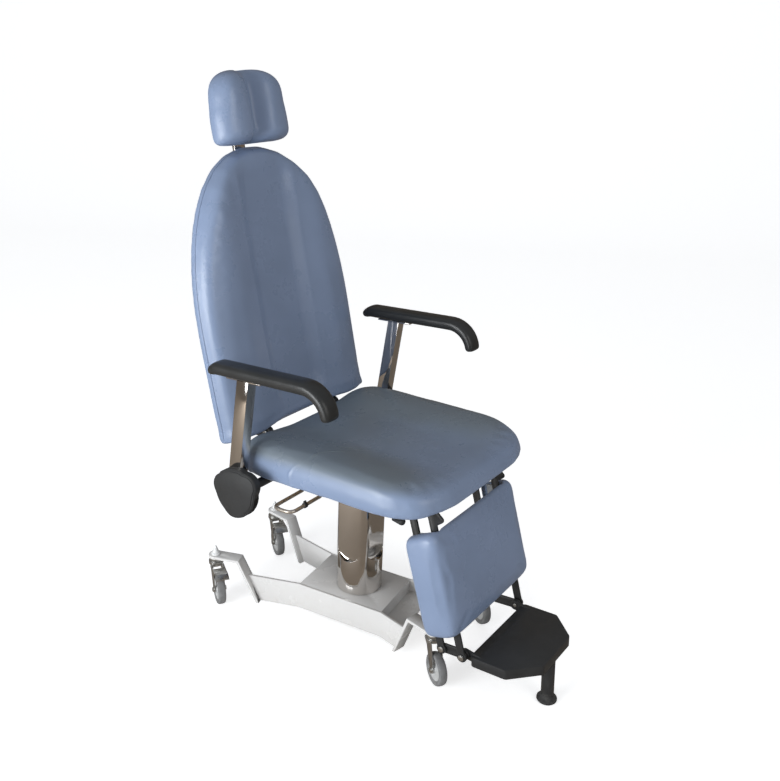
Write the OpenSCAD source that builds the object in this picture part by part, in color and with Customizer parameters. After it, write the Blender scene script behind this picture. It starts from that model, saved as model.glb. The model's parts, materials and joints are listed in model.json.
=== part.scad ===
// Ear, nose and throat examination chair on a castor base.
// Millimetres. +Z is up, the front is -Y and the sitter's left is +X. The floor is z = 0.
// Seat, arms and leg rest are drawn level and square, then raked together about a line on the floor.

/* [Pose] */
// Rake of the seat, front edge raised
seat_rake = 4.3; // [0:0.1:7]
// Lean of the upright backrest from the vertical
back_lean = 13.2; // [9:0.1:18]
// How far the base is turned under the seat
base_turn = 8; // [0:0.5:12]
// Forward lean of the arm posts from the square to the seat
post_lean = 12; // [6:0.5:16]
// Forward lean of the leg bars from the square to the seat
leg_lean = 13.5; // [10:0.5:18]
// From the middle of the chair's length back to the column axis
column_y = 79.2; // [60:0.1:100]

/* [Base] */
// Half the width over the side webs at the deck
deck_half_w = 93; // [88:1:110]
// Deck from the column axis to its front edge
deck_front = 118; // [110:1:140]
// Deck from the column axis to its rear edge
deck_rear = 142; // [120:1:160]
// Height of the deck's top face
deck_z = 92; // [86:1:104]
// Thickness of the deck plate
deck_t = 5; // [3:0.5:8]
// Height of the lower edge of the side webs
web_bottom = 14; // [12:1:40]
// Thickness of the side webs
web_t = 7; // [4:0.5:10]
// Height of the castor plates' top face
plate_z = 142; // [130:1:150]
// Thickness of the bent strips that end in the castor plates
strip_t = 8; // [5:0.5:10]
// Width of the bent strips
strip_w = 38; // [32:1:44]
// Half the distance between left and right castor stems
stem_half = 152; // [145:1:180]
// Column axis back to the rear castor stems
stem_rear = 384; // [340:1:400]
// Column axis forward to the front castor stems
stem_front = 298; // [280:1:306]

/* [Castors] */
// Wheel diameter
wheel_d = 88; // [70:1:96]
// Wheel width over the tyre
wheel_w = 22; // [18:1:26]
// Trail of the axle behind the stem
trail = 30; // [22:1:36]
// Direction of the trail, from +X
trail_dir = 238.6; // [0:0.2:360]
// Diameter of the castor stem
stem_d = 12; // [8:1:14]
// Thickness of the fork plate
fork_t = 2.5; // [2:0.5:4]
// Diameter of the wheel axle
axle_d = 8; // [6:1:10]

/* [Column] */
// Diameter of the round chrome shroud
shroud_d = 127; // [115:1:140]
// Distance across the shroud's opposite flats
shroud_flats = 104; // [98:1:112]
// Height of the round foot of the shroud, below the flats
shroud_foot = 100; // [70:1:130]
// Wall of the shroud
shroud_wall = 3; // [2:0.5:3.5]
// Height of the seat of the head plate on the column
head_z = 455; // [440:1:462]
// Outer diameter of the fixed guide tube
guide_d = 88; // [80:1:92]
// Wall of the guide tube
guide_wall = 6; // [4:0.5:8]
// Outer diameter of the rising tube
riser_d = 56; // [48:1:60]
// Wall of the rising tube
riser_wall = 8; // [5:0.5:9]
// Stroke of the column
lift_travel = 200; // [120:5:220]

/* [Seat] */
// Width of the seat cushion
seat_w = 560; // [500:5:570]
// Column axis forward to the seat's front edge
seat_front = 416; // [400:1:440]
// Column axis back to the seat's rear edge
seat_rear = 147; // [130:1:150]
// Height of the cushion's lower face
seat_z = 502; // [494:1:520]
// Thickness of the cushion at its side bolsters
seat_t = 88; // [70:1:105]
// Depth of the seat's dished middle
seat_dish = 20; // [0:1:30]
// Thickness of the seat, back and head boards
board_t = 12; // [8:1:15]

/* [Arms] */
// From the side of the seat to the middle of an arm pad
arm_side = 30; // [30:1:50]
// Width of an arm pad
pad_w = 55; // [40:1:56]
// Thickness of an arm pad
pad_t = 34; // [26:1:40]
// Height of the flat lower face of the arm pads
pad_z = 777; // [740:1:800]
// Column axis back to the rear tip of the arm pads
pad_rear = 178; // [150:1:190]
// Column axis forward to where the arm pads start to bend down
pad_bend = 118; // [90:1:140]
// Inner radius of the arm pads' front bend
pad_r = 51; // [36:1:60]
// Width of the arm post, front to back
post_l = 36; // [30:1:40]
// Width of the arm post, side to side
post_w = 30; // [20:1:32]
// Column axis back to the pivot of the arms
arm_pivot_y = 85; // [76:1:88]
// Height of the pivot of the arms
arm_pivot_z = 488; // [480:1:489]

/* [Back] */
// Width of the backrest
back_w = 554; // [480:2:558]
// Length of the backrest
back_l = 713; // [640:1:760]
// Thickness of the backrest
back_t = 72; // [60:1:90]
// Hinge up to the lower edge of the backrest
back_gap = 18; // [17:1:40]
// Hinge back to the rear face of the backrest
back_rear = 44; // [38:1:50]
// Column axis back to the recline hinge
hinge_y = 215; // [208:1:225]
// Height of the recline hinge
hinge_z = 545; // [538:1:552]
// Depth of the valley between the back bolsters
back_valley = 16; // [0:1:24]

/* [Headrest] */
// Width of the headrest
head_w = 248; // [200:2:280]
// Length of the headrest
head_l = 183; // [150:1:210]
// Thickness of the headrest
head_t = 72; // [50:1:84]
// Gap between the backrest and the headrest
head_gap = 3; // [2:1:30]
// Hinge plane back to the rear face of the headrest
head_rear = 23; // [16:1:30]
// Depth of the valley between the two headrest lobes
head_valley = 20; // [0:1:26]
// Travel of the headrest bar
head_travel = 120; // [60:5:150]

/* [Leg rest] */
// Distance from the upper to the lower pins of the leg bars
bar_l = 387; // [360:1:400]
// Distance between the front and the rear leg pivots
bar_pitch = 62; // [56:1:70]
// Column axis forward to the front leg pivots
leg_pivot_y = 344; // [338:1:350]
// Height of the front leg pivots
leg_pivot_z = 481; // [478:1:484]
// Half the distance between the inner faces of the link plates
link_half = 131; // [120:1:134]
// Width of the leg bars
bar_w = 20; // [18:1:22]
// Thickness of the leg bars and link plates
bar_t = 6; // [4:0.5:6]
// Width of the calf pad
calf_w = 402; // [370:2:420]
// Front leg bar axis forward to the face of the calf pad
calf_face = 34; // [28:1:44]
// Depth of the calf pad over its side cheeks
calf_t = 98; // [80:1:102]
// Leg pivot down to the calf pad's upper edge
calf_top = 42; // [40:1:60]
// Leg pivot down to the calf pad's lower edge
calf_bottom = 322; // [270:1:330]

/* [Footrest] */
// Half the width of the footplate
foot_half_w = 140; // [135:1:170]
// Column axis forward to the footplate's rear edge
foot_rear = 452; // [450:1:460]
// Column axis forward to where the sides end
foot_side = 550; // [520:1:570]
// Column axis forward to the footplate's front edge
foot_front = 618; // [590:1:640]
// Half the width of the footplate's front edge
foot_nose = 72; // [50:1:100]
// Height of the footplate's top face
foot_z = 109; // [104:1:116]
// Depth of the footplate's skirt
skirt_h = 26; // [16:1:30]
// Column axis forward to the foot post, on the floor
post_foot_y = 597; // [575:1:597]
// Diameter of the foot post
foot_post_d = 33; // [24:1:36]
// Diameter of the rubber foot
rubber_d = 52; // [44:1:60]

/* [Hidden] */
lap = 1;             // overrun of every cut and overlap inside a union
slip = 0.05;         // radial clearance of a running fit
play = 0.5;          // clearance between flat moving neighbours
soft_gap = 0.6;      // clearance round boards let into cushions
steel_t = 6;         // brackets and ears
pin_r = 5;           // radius of the hinge and link pins
boss_r = 13;         // eye round a link pin
rail_w = 25;         // seat rails, side to side
rail_h = 24;         // seat rails, height
round_fn = 96;
small_fn = 48;
hull_fn = 32;

// Frames

// On the column axis, at the floor
module at_column() translate([0, column_y, 0]) children();
// Level and square with the seat, before the rake
module raked() at_column() rotate([-seat_rake, 0, 0]) children();
// On the recline hinge, z up along the backrest
module on_back() at_column() translate([0, hinge_y, hinge_z]) rotate([-back_lean, 0, 0]) children();
// Square with the base
module on_base() at_column() rotate([0, 0, base_turn]) children();
// On the front leg pivots, z up along the bars, -y towards the sitter's calves
module on_leg() raked() translate([0, -leg_pivot_y, leg_pivot_z]) rotate([-leg_lean, 0, 0]) children();
// A profile drawn in (y, z), extruded from x = x0 over the length w
module side_plate(x0, w) translate([x0, 0, 0]) rotate([90, 0, 90]) linear_extrude(w) children();
// The same plate on both sides of the chair
module both() { children(); mirror([1, 0, 0]) children(); }

// A point given along y and z before the rake, as it stands
function rake_y(y, z) = y * cos(seat_rake) + z * sin(seat_rake);
function rake_z(y, z) = -y * sin(seat_rake) + z * cos(seat_rake);

// Soft forms

// Outline of a cushion: distance from its middle at angle a, different towards +y and -y
function reach(a, hw, up, down, n_up, n_down) =
  let (h = sin(a) >= 0 ? up : down, n = sin(a) >= 0 ? n_up : n_down)
  1 / pow(pow(abs(cos(a)) / hw, n) + pow(abs(sin(a)) / h, n), 1 / n);
// Angles of a half outline: even, or with closer steps towards a corner at the angle c
even_turns = [for (i = [0:24]) 180 * i / 25];
near_share = [0, 0.34, 0.6, 0.78, 0.9, 0.97];
function quarter(c) = concat([for (s = near_share) c * s], [c],
  [for (i = [len(near_share) - 1:-1:1]) 90 - (90 - c) * near_share[i]]);
function corner_turns(c) = let (q = quarter(c)) concat(q, [90], [for (i = [len(q) - 1:-1:1]) 180 - q[i]]);
// Outline: half width, reach towards +y and -y, squareness of both halves and their angles
function outline(hw, up, down, n_up, n_down, even_top) = [hw, up, down, n_up, n_down,
  concat(even_top ? even_turns : corner_turns(atan2(up, hw)),
    [for (a = corner_turns(atan2(down, hw))) 180 + a])];
// Ring of points at an inset from an outline
function ring(o, inset) = [
  for (a = o[5]) let (r = reach(a, o[0], o[1], o[2], o[3], o[4]))
    [r * cos(a) * (o[0] - inset) / o[0], r * sin(a) * (1 - inset / (sin(a) >= 0 ? o[1] : o[2]))]
];
// Closed skin over rings of equal count, from the first ring's middle to the last ring's middle
module skin(rings, first, last) {
  n = len(rings[0]);
  m = len(rings);
  points = concat([first], [for (r = rings) each r], [last]);
  faces = concat(
    [for (i = [0:n - 1]) [0, 1 + i, 1 + (i + 1) % n]],
    [for (k = [0:m - 2], i = [0:n - 1]) each let (
        a = 1 + k * n + i, b = 1 + k * n + (i + 1) % n, c = a + n, d = b + n)
      [[a, c, b], [b, c, d]]],
    [for (i = [0:n - 1]) [1 + m * n, 1 + (m - 1) * n + (i + 1) % n, 1 + (m - 1) * n + i]]);
  polyhedron(points, faces);
}
// A smooth step from 0 at a to 1 at b
function ease(x, a, b) = let (t = min(1, max(0, (x - a) / (b - a)))) t * t * (3 - 2 * t);

// Base

flare_rear = atan2(stem_half - deck_half_w, stem_rear - deck_rear);
flare_front = atan2(stem_half - deck_half_w, stem_front - deck_front);
arm_rear = norm([stem_half - deck_half_w, stem_rear - deck_rear]);
arm_front = norm([stem_half - deck_half_w, stem_front - deck_front]);
slope_share_rear = [0.46, 0.70];    // foot and bend of the sloping strip, along the rear arm
slope_share_front = [0.34, 0.585];  // the same along the front arm
low_plate_z = 56;                   // top of the low front cross plate
low_plate_end = 66;                 // its reach in front of the deck
lip_h = 30;                         // turned-down lip under the deck's edges
boss_d = 1.05 * strip_w;            // round end of a strip, about its castor stem

// Plan of the web: straight beside the deck, flared along both arms
function arm_tip(length, flare, across) = [deck_half_w + length * sin(flare) - across * cos(flare),
  length * cos(flare) + across * sin(flare)];
function web_corner(flare) = [deck_half_w - web_t, web_t * tan(flare / 2)];
function to_rear(p) = [p[0], deck_rear + p[1]];
function to_front(p) = [p[0], -deck_front - p[1]];
module web_plan() {
  rear_l = slope_share_rear[1] * arm_rear;
  front_l = slope_share_front[1] * arm_front;
  polygon([to_front([deck_half_w, 0]), to_rear([deck_half_w, 0]),
    to_rear(arm_tip(rear_l, flare_rear, 0)), to_rear(arm_tip(rear_l, flare_rear, web_t)),
    to_rear(web_corner(flare_rear)), to_front(web_corner(flare_front)),
    to_front(arm_tip(front_l, flare_front, web_t)), to_front(arm_tip(front_l, flare_front, 0))]);
}
// One flared arm in (along, height): what is cut off the web, and the strip bent up over its end
module web_cut(length, share) {
  foot = share[0] * length + strip_t / 2;
  lean = (share[1] - share[0]) * length / (plate_z - web_bottom);
  polygon([[foot - lap * lean, web_bottom - lap], [foot + (deck_z - web_bottom + lap) * lean, deck_z + lap],
    [length, deck_z + lap], [length, web_bottom - lap]]);
}
module arm_strip(length, share) {
  foot = share[0] * length;
  bend = share[1] * length;
  slope = atan2(plate_z - web_bottom, bend - foot);
  side = strip_t / sin(slope);
  drop = strip_t * tan(slope / 2);
  toe = strip_t / 8 / tan(slope);
  polygon([[foot - toe, web_bottom - strip_t / 8], [bend, plate_z], [length, plate_z],
    [length, plate_z - strip_t], [bend + drop, plate_z - strip_t],
    [foot + side - toe, web_bottom - strip_t / 8]]);
}
module on_arms() {
  translate([deck_half_w, deck_rear, 0]) rotate([0, 0, -flare_rear]) children(0);
  translate([deck_half_w, -deck_front, 0]) mirror([0, 1, 0]) rotate([0, 0, -flare_front]) children(1);
}
module web_end(length, share) rotate([90, 0, 90]) translate([0, 0, -web_t - lap])
  linear_extrude(web_t + 2 * lap) web_cut(length, share);
module strip_end(length, share) difference() {
  union() {
    rotate([90, 0, 90]) translate([0, 0, -(web_t + strip_w) / 2]) linear_extrude(strip_w)
      arm_strip(length, share);
    translate([-web_t / 2, length, plate_z - strip_t]) cylinder(h = strip_t, d = boss_d, $fn = small_fn);
  }
  translate([-web_t / 2, length, plate_z - strip_t - lap])
    cylinder(h = strip_t + 2 * lap, d = stem_d, $fn = small_fn);
}
// The sitter's left side member: web along the deck and both arms, with a bent strip at each end
module side_member() color("white") on_base() {
  difference() {
    translate([0, 0, web_bottom]) linear_extrude(deck_z - web_bottom) web_plan();
    on_arms() {
      web_end(arm_rear, slope_share_rear);
      web_end(arm_front, slope_share_front);
    }
  }
  on_arms() {
    strip_end(arm_rear, slope_share_rear);
    strip_end(arm_front, slope_share_front);
  }
}
module side_member_left() side_member();
module side_member_right() color("white") on_base() mirror([1, 0, 0]) rotate([0, 0, -base_turn])
  translate([0, -column_y, 0]) side_member();

// Deck plate with turned-down lips and the low cross plate of the front channel
module deck() color("white") on_base() {
  inner = deck_half_w - web_t;
  difference() {
    union() {
      translate([-inner, -deck_front, deck_z - deck_t])
        cube([2 * inner, deck_front + deck_rear, deck_t]);
      translate([-inner, deck_rear - deck_t, deck_z - lip_h]) cube([2 * inner, deck_t, lip_h]);
      translate([-inner, -deck_front, low_plate_z - deck_t])
        cube([2 * inner, deck_t, deck_z - low_plate_z + deck_t]);
    }
    translate([0, 0, deck_z - deck_t - lap]) cylinder(h = deck_t + 2 * lap, r = cyl_r, $fn = small_fn);
  }
  translate([-inner, -deck_front - low_plate_end, low_plate_z - deck_t])
    cube([2 * inner, low_plate_end + lap, deck_t]);
}

// Castors

stem_places = [[1, stem_rear], [-1, stem_rear], [1, -stem_front], [-1, -stem_front]];
// The stem axis lies on the middle of the strip
module at_stem(side, y) on_base() {
  f = y > 0 ? flare_rear : flare_front;
  translate([side * (stem_half - web_t / 2 * cos(f)), y + sign(y) * web_t / 2 * sin(f), 0]) children();
}
wheel_r = wheel_d / 2;
axle_z = wheel_r;
race_t = 11;         // fixed upper race of the castor
race_r = 18;
crown_t = 8;         // swivelling crown of the fork
crown_z = plate_z - strip_t - race_t - play - crown_t;
rivet_t = 4;         // head that holds the fork on the stem
rivet_r = 10;        // clear of the brake pin beside it
fork_gap = 2;        // beside the wheel
hub_r = wheel_r * 0.68;
fork_in = wheel_w / 2 + fork_gap;
module castor_stems() color("gainsboro") for (p = stem_places) at_stem(p[0], p[1]) {
  translate([0, 0, crown_z - rivet_t]) cylinder(h = plate_z + cap_bore - crown_z + rivet_t, d = stem_d,
    $fn = small_fn);
  translate([0, 0, plate_z - strip_t - race_t]) cylinder(h = race_t, r = race_r, $fn = small_fn);
  translate([0, 0, crown_z - rivet_t - play]) cylinder(h = rivet_t, r = rivet_r, $fn = small_fn);
}
// Pointed white caps screwed on the stems
cap_h = 27;
cap_bore = 12;       // reach of the stem into the cap
cap_foot = 5;
cap_r = 13;
cap_tip = 3.5;
module cap_nuts() color("white") for (p = stem_places) at_stem(p[0], p[1]) translate([0, 0, plate_z])
  rotate_extrude($fn = small_fn) polygon([
    [stem_d / 2, 0], [cap_r, 0], [cap_r, cap_foot], [cap_r * 0.78, cap_foot + cap_tip / 2],
    [cap_tip * 1.6, cap_h * 0.66], [cap_tip, cap_h - cap_tip], [cap_tip / 2, cap_h], [0, cap_h],
    [0, cap_bore], [stem_d / 2, cap_bore]]);
// Frame of a castor: the origin under its stem, -x along the trail
module at_castor(side, y) at_stem(side, y) rotate([0, 0, trail_dir - base_turn + 180]) children();
module fork(side, y) color("silver") at_castor(side, y) difference() {
  union() {
    if (y > 0) translate([pedal_x, pedal_in + pedal_t + lap, pedal_z]) rotate([90, 0, 0])
      cylinder(h = 2 * (pedal_in + pedal_t + lap), r = pedal_pin_r, $fn = small_fn);
    translate([0, 0, crown_z]) cylinder(h = crown_t, r = race_r + fork_t, $fn = small_fn);
    for (s = [-1, 1]) translate([0, s * (fork_in + fork_t / 2) + fork_t / 2, 0]) rotate([90, 0, 0])
      linear_extrude(fork_t) polygon(fork_points);
    translate([-trail, fork_in + fork_t + axle_d / 4, axle_z]) rotate([90, 0, 0])
      cylinder(h = 2 * fork_in + 2 * fork_t + axle_d / 2, d = axle_d, $fn = small_fn);
    for (s = [-1, 1]) translate([-trail, s * (fork_in + fork_t + axle_d / 4) + axle_d / 4, axle_z])
      rotate([90, 0, 0]) cylinder(h = axle_d / 2, r = axle_d * 0.85, $fn = small_fn);
  }
  translate([0, 0, crown_z - lap]) cylinder(h = crown_t + 2 * lap, r = stem_d / 2 + slip, $fn = small_fn);
}
// Side outline of the fork: straight front, swept back, round end at the axle
fork_eye = axle_d * 1.2;
fork_points = concat(
  [[race_r, crown_z + crown_t / 2], [-race_r, crown_z + crown_t / 2],
   [-race_r - trail * 0.12, crown_z - crown_t]],
  [for (a = [170:20:350]) [-trail + fork_eye * cos(a), axle_z + fork_eye * sin(a)]],
  [[race_r * 0.2, crown_z - crown_t * 2], [race_r, crown_z - crown_t / 4]]);
module fork_rear_left() fork(1, stem_rear);
module fork_rear_right() fork(-1, stem_rear);
module fork_front_left() fork(1, -stem_front);
module fork_front_right() fork(-1, -stem_front);

// Wheel centre with its lens-shaped side and bore
module hub(side, y) color("lightgray") at_castor(side, y) translate([-trail, 0, axle_z]) rotate([90, 0, 0])
  rotate_extrude($fn = small_fn) polygon([
    [axle_d / 2 + slip, -wheel_w / 2], [axle_d * 1.1, -wheel_w / 2], [axle_d * 1.5, -wheel_w / 4],
    [hub_r * 0.8, -wheel_w / 4], [hub_r, -wheel_w / 2.6], [hub_r, wheel_w / 2.6],
    [hub_r * 0.8, wheel_w / 4], [axle_d * 1.5, wheel_w / 4], [axle_d * 1.1, wheel_w / 2],
    [axle_d / 2 + slip, wheel_w / 2]]);
module tyre(side, y) color("dimgray") at_castor(side, y) translate([-trail, 0, axle_z]) rotate([90, 0, 0])
  rotate_extrude($fn = round_fn) polygon(concat(
    [[hub_r, -wheel_w / 2.6], [wheel_r * 0.8, -wheel_w / 2]],
    [for (a = [-60:20:60]) [wheel_r - wheel_w / 5 * (1 - cos(a)) , wheel_w / 2.2 * sin(a) / sin(60)]],
    [[wheel_r * 0.8, wheel_w / 2], [hub_r, wheel_w / 2.6]]));
module hub_rear_left() hub(1, stem_rear);
module hub_rear_right() hub(-1, stem_rear);
module hub_front_left() hub(1, -stem_front);
module hub_front_right() hub(-1, -stem_front);
module tyre_rear_left() tyre(1, stem_rear);
module tyre_rear_right() tyre(-1, stem_rear);
module tyre_front_left() tyre(1, -stem_front);
module tyre_front_right() tyre(-1, -stem_front);

// Brake pedal over the rear wheels: two side cheeks, a bridge and a sloping foot tab
pedal_t = 2.5;
pedal_in = fork_in + fork_t + play;
pedal_x = -race_r * 0.75;           // pedal pivot
pedal_z = crown_z - crown_t * 0.6;
pedal_l = 52;
tab_l = 16;
tab_slope = 35;          // keeps the tab under the side member as the castor turns
tab_tip = [-pedal_l - tab_l * cos(tab_slope), -tab_l * sin(tab_slope)];
cheek_l = pedal_l - 2 * pedal_t;
cheek_shares = [0.84, 0.4];          // height over the pin and at the front, in pin radii
module brake_pedal(side) color("silver") at_castor(side, stem_rear) translate([pedal_x, 0, pedal_z]) {
  difference() {
    for (s = [-1, 1]) translate([0, s * (pedal_in + pedal_t / 2) + pedal_t / 2, 0]) rotate([90, 0, 0])
      linear_extrude(pedal_t) polygon([[pin_r, cheek_shares[1] * pin_r], [0, cheek_shares[0] * pin_r],
        [-cheek_l, pin_r / 2 - pedal_t / 2], [-cheek_l, -pin_r / 2], [pin_r, -pin_r]]);
    translate([0, pedal_in + 2 * pedal_t, 0]) rotate([90, 0, 0])
      cylinder(h = 2 * pedal_in + 4 * pedal_t, r = pedal_pin_r + slip, $fn = small_fn);
  }
  translate([0, pedal_in + pedal_t, pin_r / 2]) rotate([90, 0, 0])
    linear_extrude(2 * (pedal_in + pedal_t)) polygon([[-race_r, 0], [-pedal_l, 0], tab_tip,
      [tab_tip[0], tab_tip[1] - pedal_t], [-pedal_l, -pedal_t], [-race_r, -pedal_t]]);
}
pedal_pin_r = 2.5;
module brake_pedal_left() brake_pedal(1);
module brake_pedal_right() brake_pedal(-1);

// Column

guide_r = guide_d / 2;
riser_r = riser_d / 2;
riser_in = riser_r - riser_wall;
guide_room = 35;                    // room under the head, above the guide
guide_top = head_z - guide_room;
flange_t = 6;
flange_play = 2;
flange_r = shroud_d / 2 - shroud_wall - flange_play;
bush_h = 20;
cyl_r = 15;                         // pressure cylinder
rod_r = 5;                          // its piston rod
cyl_drop = 20;                      // the cylinder ends this far under the guide's top
cyl_top = guide_top - cyl_drop;
spigot_r = 15;
spigot_h = 16;
module column_guide() color("gray") at_column() difference() {
  union() {
    translate([0, 0, deck_z]) cylinder(h = flange_t, r = flange_r, $fn = round_fn);
    translate([0, 0, deck_z]) cylinder(h = guide_top - deck_z, r = guide_r, $fn = round_fn);
  }
  translate([0, 0, deck_z - lap])
    cylinder(h = guide_top - deck_z + 2 * lap, r = guide_r - guide_wall, $fn = round_fn);
}
module guide_bushes() color("ivory") at_column()
  for (z = [guide_top - lift_travel * 0.55, guide_top - bush_h]) translate([0, 0, z])
    difference() {
      cylinder(h = bush_h, r = guide_r - guide_wall, $fn = round_fn);
      translate([0, 0, -lap]) cylinder(h = bush_h + 2 * lap, r = riser_r + slip, $fn = round_fn);
    }
module lift_cylinder() color("dimgray") at_column() difference() {
  translate([0, 0, deck_z - deck_t]) cylinder(h = cyl_top - deck_z + deck_t, r = cyl_r, $fn = small_fn);
  translate([0, 0, deck_z]) cylinder(h = cyl_top, r = rod_r + slip, $fn = small_fn);
}
module riser_tube() color("silver") at_column() {
  difference() {
    translate([0, 0, deck_z + deck_t])
      cylinder(h = head_z - deck_z - deck_t - play, r = riser_r, $fn = round_fn);
    translate([0, 0, deck_z]) cylinder(h = head_z - deck_z - riser_wall, r = riser_in, $fn = round_fn);
  }
  translate([0, 0, head_z - play - lap]) cylinder(h = spigot_h + lap, r = spigot_r, $fn = small_fn);
}
module lift_rod() color("silver") at_column() translate([0, 0, deck_z + riser_wall])
  cylinder(h = head_z - deck_z - 2 * riser_wall, r = rod_r, $fn = small_fn);

// Chrome shroud: a round tube with four flats that run out in round ends above its foot
shroud_r = shroud_d / 2;
shroud_lift = 2;                    // the shroud clears the deck
shroud_bottom = deck_z + shroud_lift;
flat_end_r = shroud_flats * 0.38;
module flat_cutters(across, low) for (a = [0:90:270]) rotate([0, 0, a])
  translate([across / 2, 0, low]) rotate([90, 0, 90]) linear_extrude(shroud_r) {
    translate([0, flat_end_r]) circle(r = flat_end_r, $fn = small_fn);
    translate([-shroud_r, flat_end_r]) square([2 * shroud_r, head_z]);
  }
module column_shroud() color("lightsteelblue") at_column() difference() {
  translate([0, 0, shroud_bottom]) cylinder(h = head_z - shroud_bottom, r = shroud_r, $fn = round_fn);
  flat_cutters(shroud_flats, shroud_bottom + shroud_foot);
  difference() {
    translate([0, 0, shroud_bottom - lap])
      cylinder(h = head_z, r = shroud_r - shroud_wall, $fn = round_fn);
    flat_cutters(shroud_flats - 2 * shroud_wall, shroud_bottom + shroud_foot - shroud_wall);
  }
}

// Seat frame

rail_x = link_half - rail_w;        // inner face of the rails
rail_z = seat_z - rail_h;
rail_front = leg_pivot_y + boss_r - lap;
rail_rear = 192;                    // column axis back to the rails' rear ends
cross_y = [-230, -70, 60];          // column axis to the cross members
hinge_u = [hinge_y * cos(seat_rake) - hinge_z * sin(seat_rake),
           hinge_y * sin(seat_rake) + hinge_z * cos(seat_rake)];
leg_drop = 3;                       // the rear pivots lie this much lower
leg_front = [-leg_pivot_y, leg_pivot_z];
leg_rear = [bar_pitch - leg_pivot_y, leg_pivot_z - leg_drop];
hub_w = 150;                        // head plate
hub_l = 200;
hub_y = -92;
// Block between the column and the seat frame: level below, raked above
module head_plate() color("black") difference() {
  at_column() translate([-hub_w / 2, hub_y, head_z]) cube([hub_w, hub_l, rail_z - head_z + rail_h]);
  raked() translate([-hub_w, 2 * hub_y, rail_z]) cube([2 * hub_w, 2 * hub_l, 2 * rail_h]);
  at_column() translate([0, 0, head_z - lap]) cylinder(h = spigot_h + 2 * lap, r = spigot_r + slip,
    $fn = small_fn);
}
// Ear with the two leg pivots, in (y, z)
module leg_ear() hull() for (p = [leg_front, leg_rear]) {
  translate(p) circle(r = boss_r, $fn = hull_fn);
  translate([p[0] - boss_r, seat_z - steel_t]) square([2 * boss_r, steel_t]);
}
module eye(p, r, x0, w) translate([x0 - lap, p[0], p[1]]) rotate([90, 0, 90])
  cylinder(h = w + 2 * lap, r = r, $fn = small_fn);
// Ear with the recline hinge, in (y, z)
module hinge_ear() {
  translate(hinge_u) circle(r = boss_r + pin_r / 2, $fn = small_fn);
  polygon([[rail_rear - 2 * rail_h, rail_z], [rail_rear, rail_z],
    [hinge_u[0] + boss_r + pin_r / 2, hinge_u[1]], [hinge_u[0] - boss_r - pin_r / 2, hinge_u[1]],
    [hinge_u[0] - boss_r - pin_r / 2, seat_z], [rail_rear - 2 * rail_h, seat_z]]);
}
loop_side = 22;                       // out from the seat's ears
loop_high = 462;
loop_pivot = [-link_half - loop_side, loop_high];  // pivot of the release loop, in (x, z)
loop_y = [-34, 26];                   // its two legs
lever_pivot = [-236, 487];            // pivot of the front lever, in (y, z)
outrigger_r = 12;
arm_x = seat_w / 2 + arm_side;
post_out = 12.5;      // from the middle of the pads to the posts' outer faces
shield_in = arm_x + post_out;           // inner face of the pivot shields
post_x = shield_in - post_w / 2;
module seat_frame() color("black") raked() difference() {
  union() {
    both() {
      translate([rail_x, -rail_front, rail_z]) cube([rail_w, rail_front + rail_rear, rail_h]);
      side_plate(link_half - lap, bar_t + lap) leg_ear();
      side_plate(link_half - lap, steel_t + lap) hinge_ear();
      translate([link_half - lap, arm_pivot_y, arm_pivot_z]) rotate([0, 90, 0])
        cylinder(h = shield_in - link_half + lap - play, r = outrigger_r, $fn = small_fn);
    }
    for (y = cross_y) translate([-rail_x - lap, y, rail_z])
      cube([2 * (rail_x + lap), rail_w, rail_h]);
    for (y = loop_y)
      translate([loop_pivot[0] - boss_r / 2, y - steel_t / 2 + loop_ear, loop_pivot[1] - boss_r / 2])
        cube([loop_side + boss_r / 2 + lap, steel_t, seat_z - rail_h - loop_pivot[1] + boss_r]);
  }
  both() {
    eye(leg_front, pin_r, link_half, bar_t);
    eye(leg_rear, pin_r, link_half, bar_t);
    eye(hinge_u, pin_r, link_half, steel_t);
    translate([shield_in - play + lap, arm_pivot_y, arm_pivot_z]) rotate([0, -90, 0])
      cylinder(h = arm_pin_l, r = pin_r, $fn = small_fn);
  }
  translate([loop_pivot[0], loop_y[0] - boss_r * 2, loop_pivot[1]]) rotate([-90, 0, 0])
    cylinder(h = loop_y[1] - loop_y[0] + boss_r * 4, r = loop_r + slip, $fn = small_fn);
  translate([-link_half - lap, lever_pivot[0], lever_pivot[1]]) rotate([0, 90, 0])
    cylinder(h = rail_w / 2, r = lever_r + slip, $fn = small_fn);
}
loop_ear = 9;        // ears stand this far from the loop's legs
arm_pin_l = 40;
// Upper pins of the leg bars, pressed in the ears, with spacers and nuts
nut_t = 4;
module leg_pin(p, out) {
  translate([link_half, p[0], p[1]]) rotate([0, 90, 0])
    cylinder(h = out - link_half + nut_t, r = pin_r, $fn = small_fn);
  translate([out + play / 2, p[0], p[1]]) rotate([0, 90, 0]) cylinder(h = nut_t, r = pin_r * 1.7, $fn = 6);
}
rear_bar_x = link_half + bar_t + play;
front_bar_x = rear_bar_x + bar_t + play;
module spacer(p) translate([link_half + bar_t, p[0], p[1]]) rotate([0, 90, 0]) difference() {
  cylinder(h = front_bar_x - link_half - bar_t - play / 2, r = pin_r * 1.6, $fn = small_fn);
  translate([0, 0, -lap]) cylinder(h = front_bar_x, r = pin_r - lap, $fn = small_fn);
}
module leg_pivot_pins() color("silver") raked() both() {
  leg_pin(leg_rear, rear_bar_x + bar_t);
  leg_pin(leg_front, front_bar_x + bar_t);
  spacer(leg_front);
}
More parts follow.
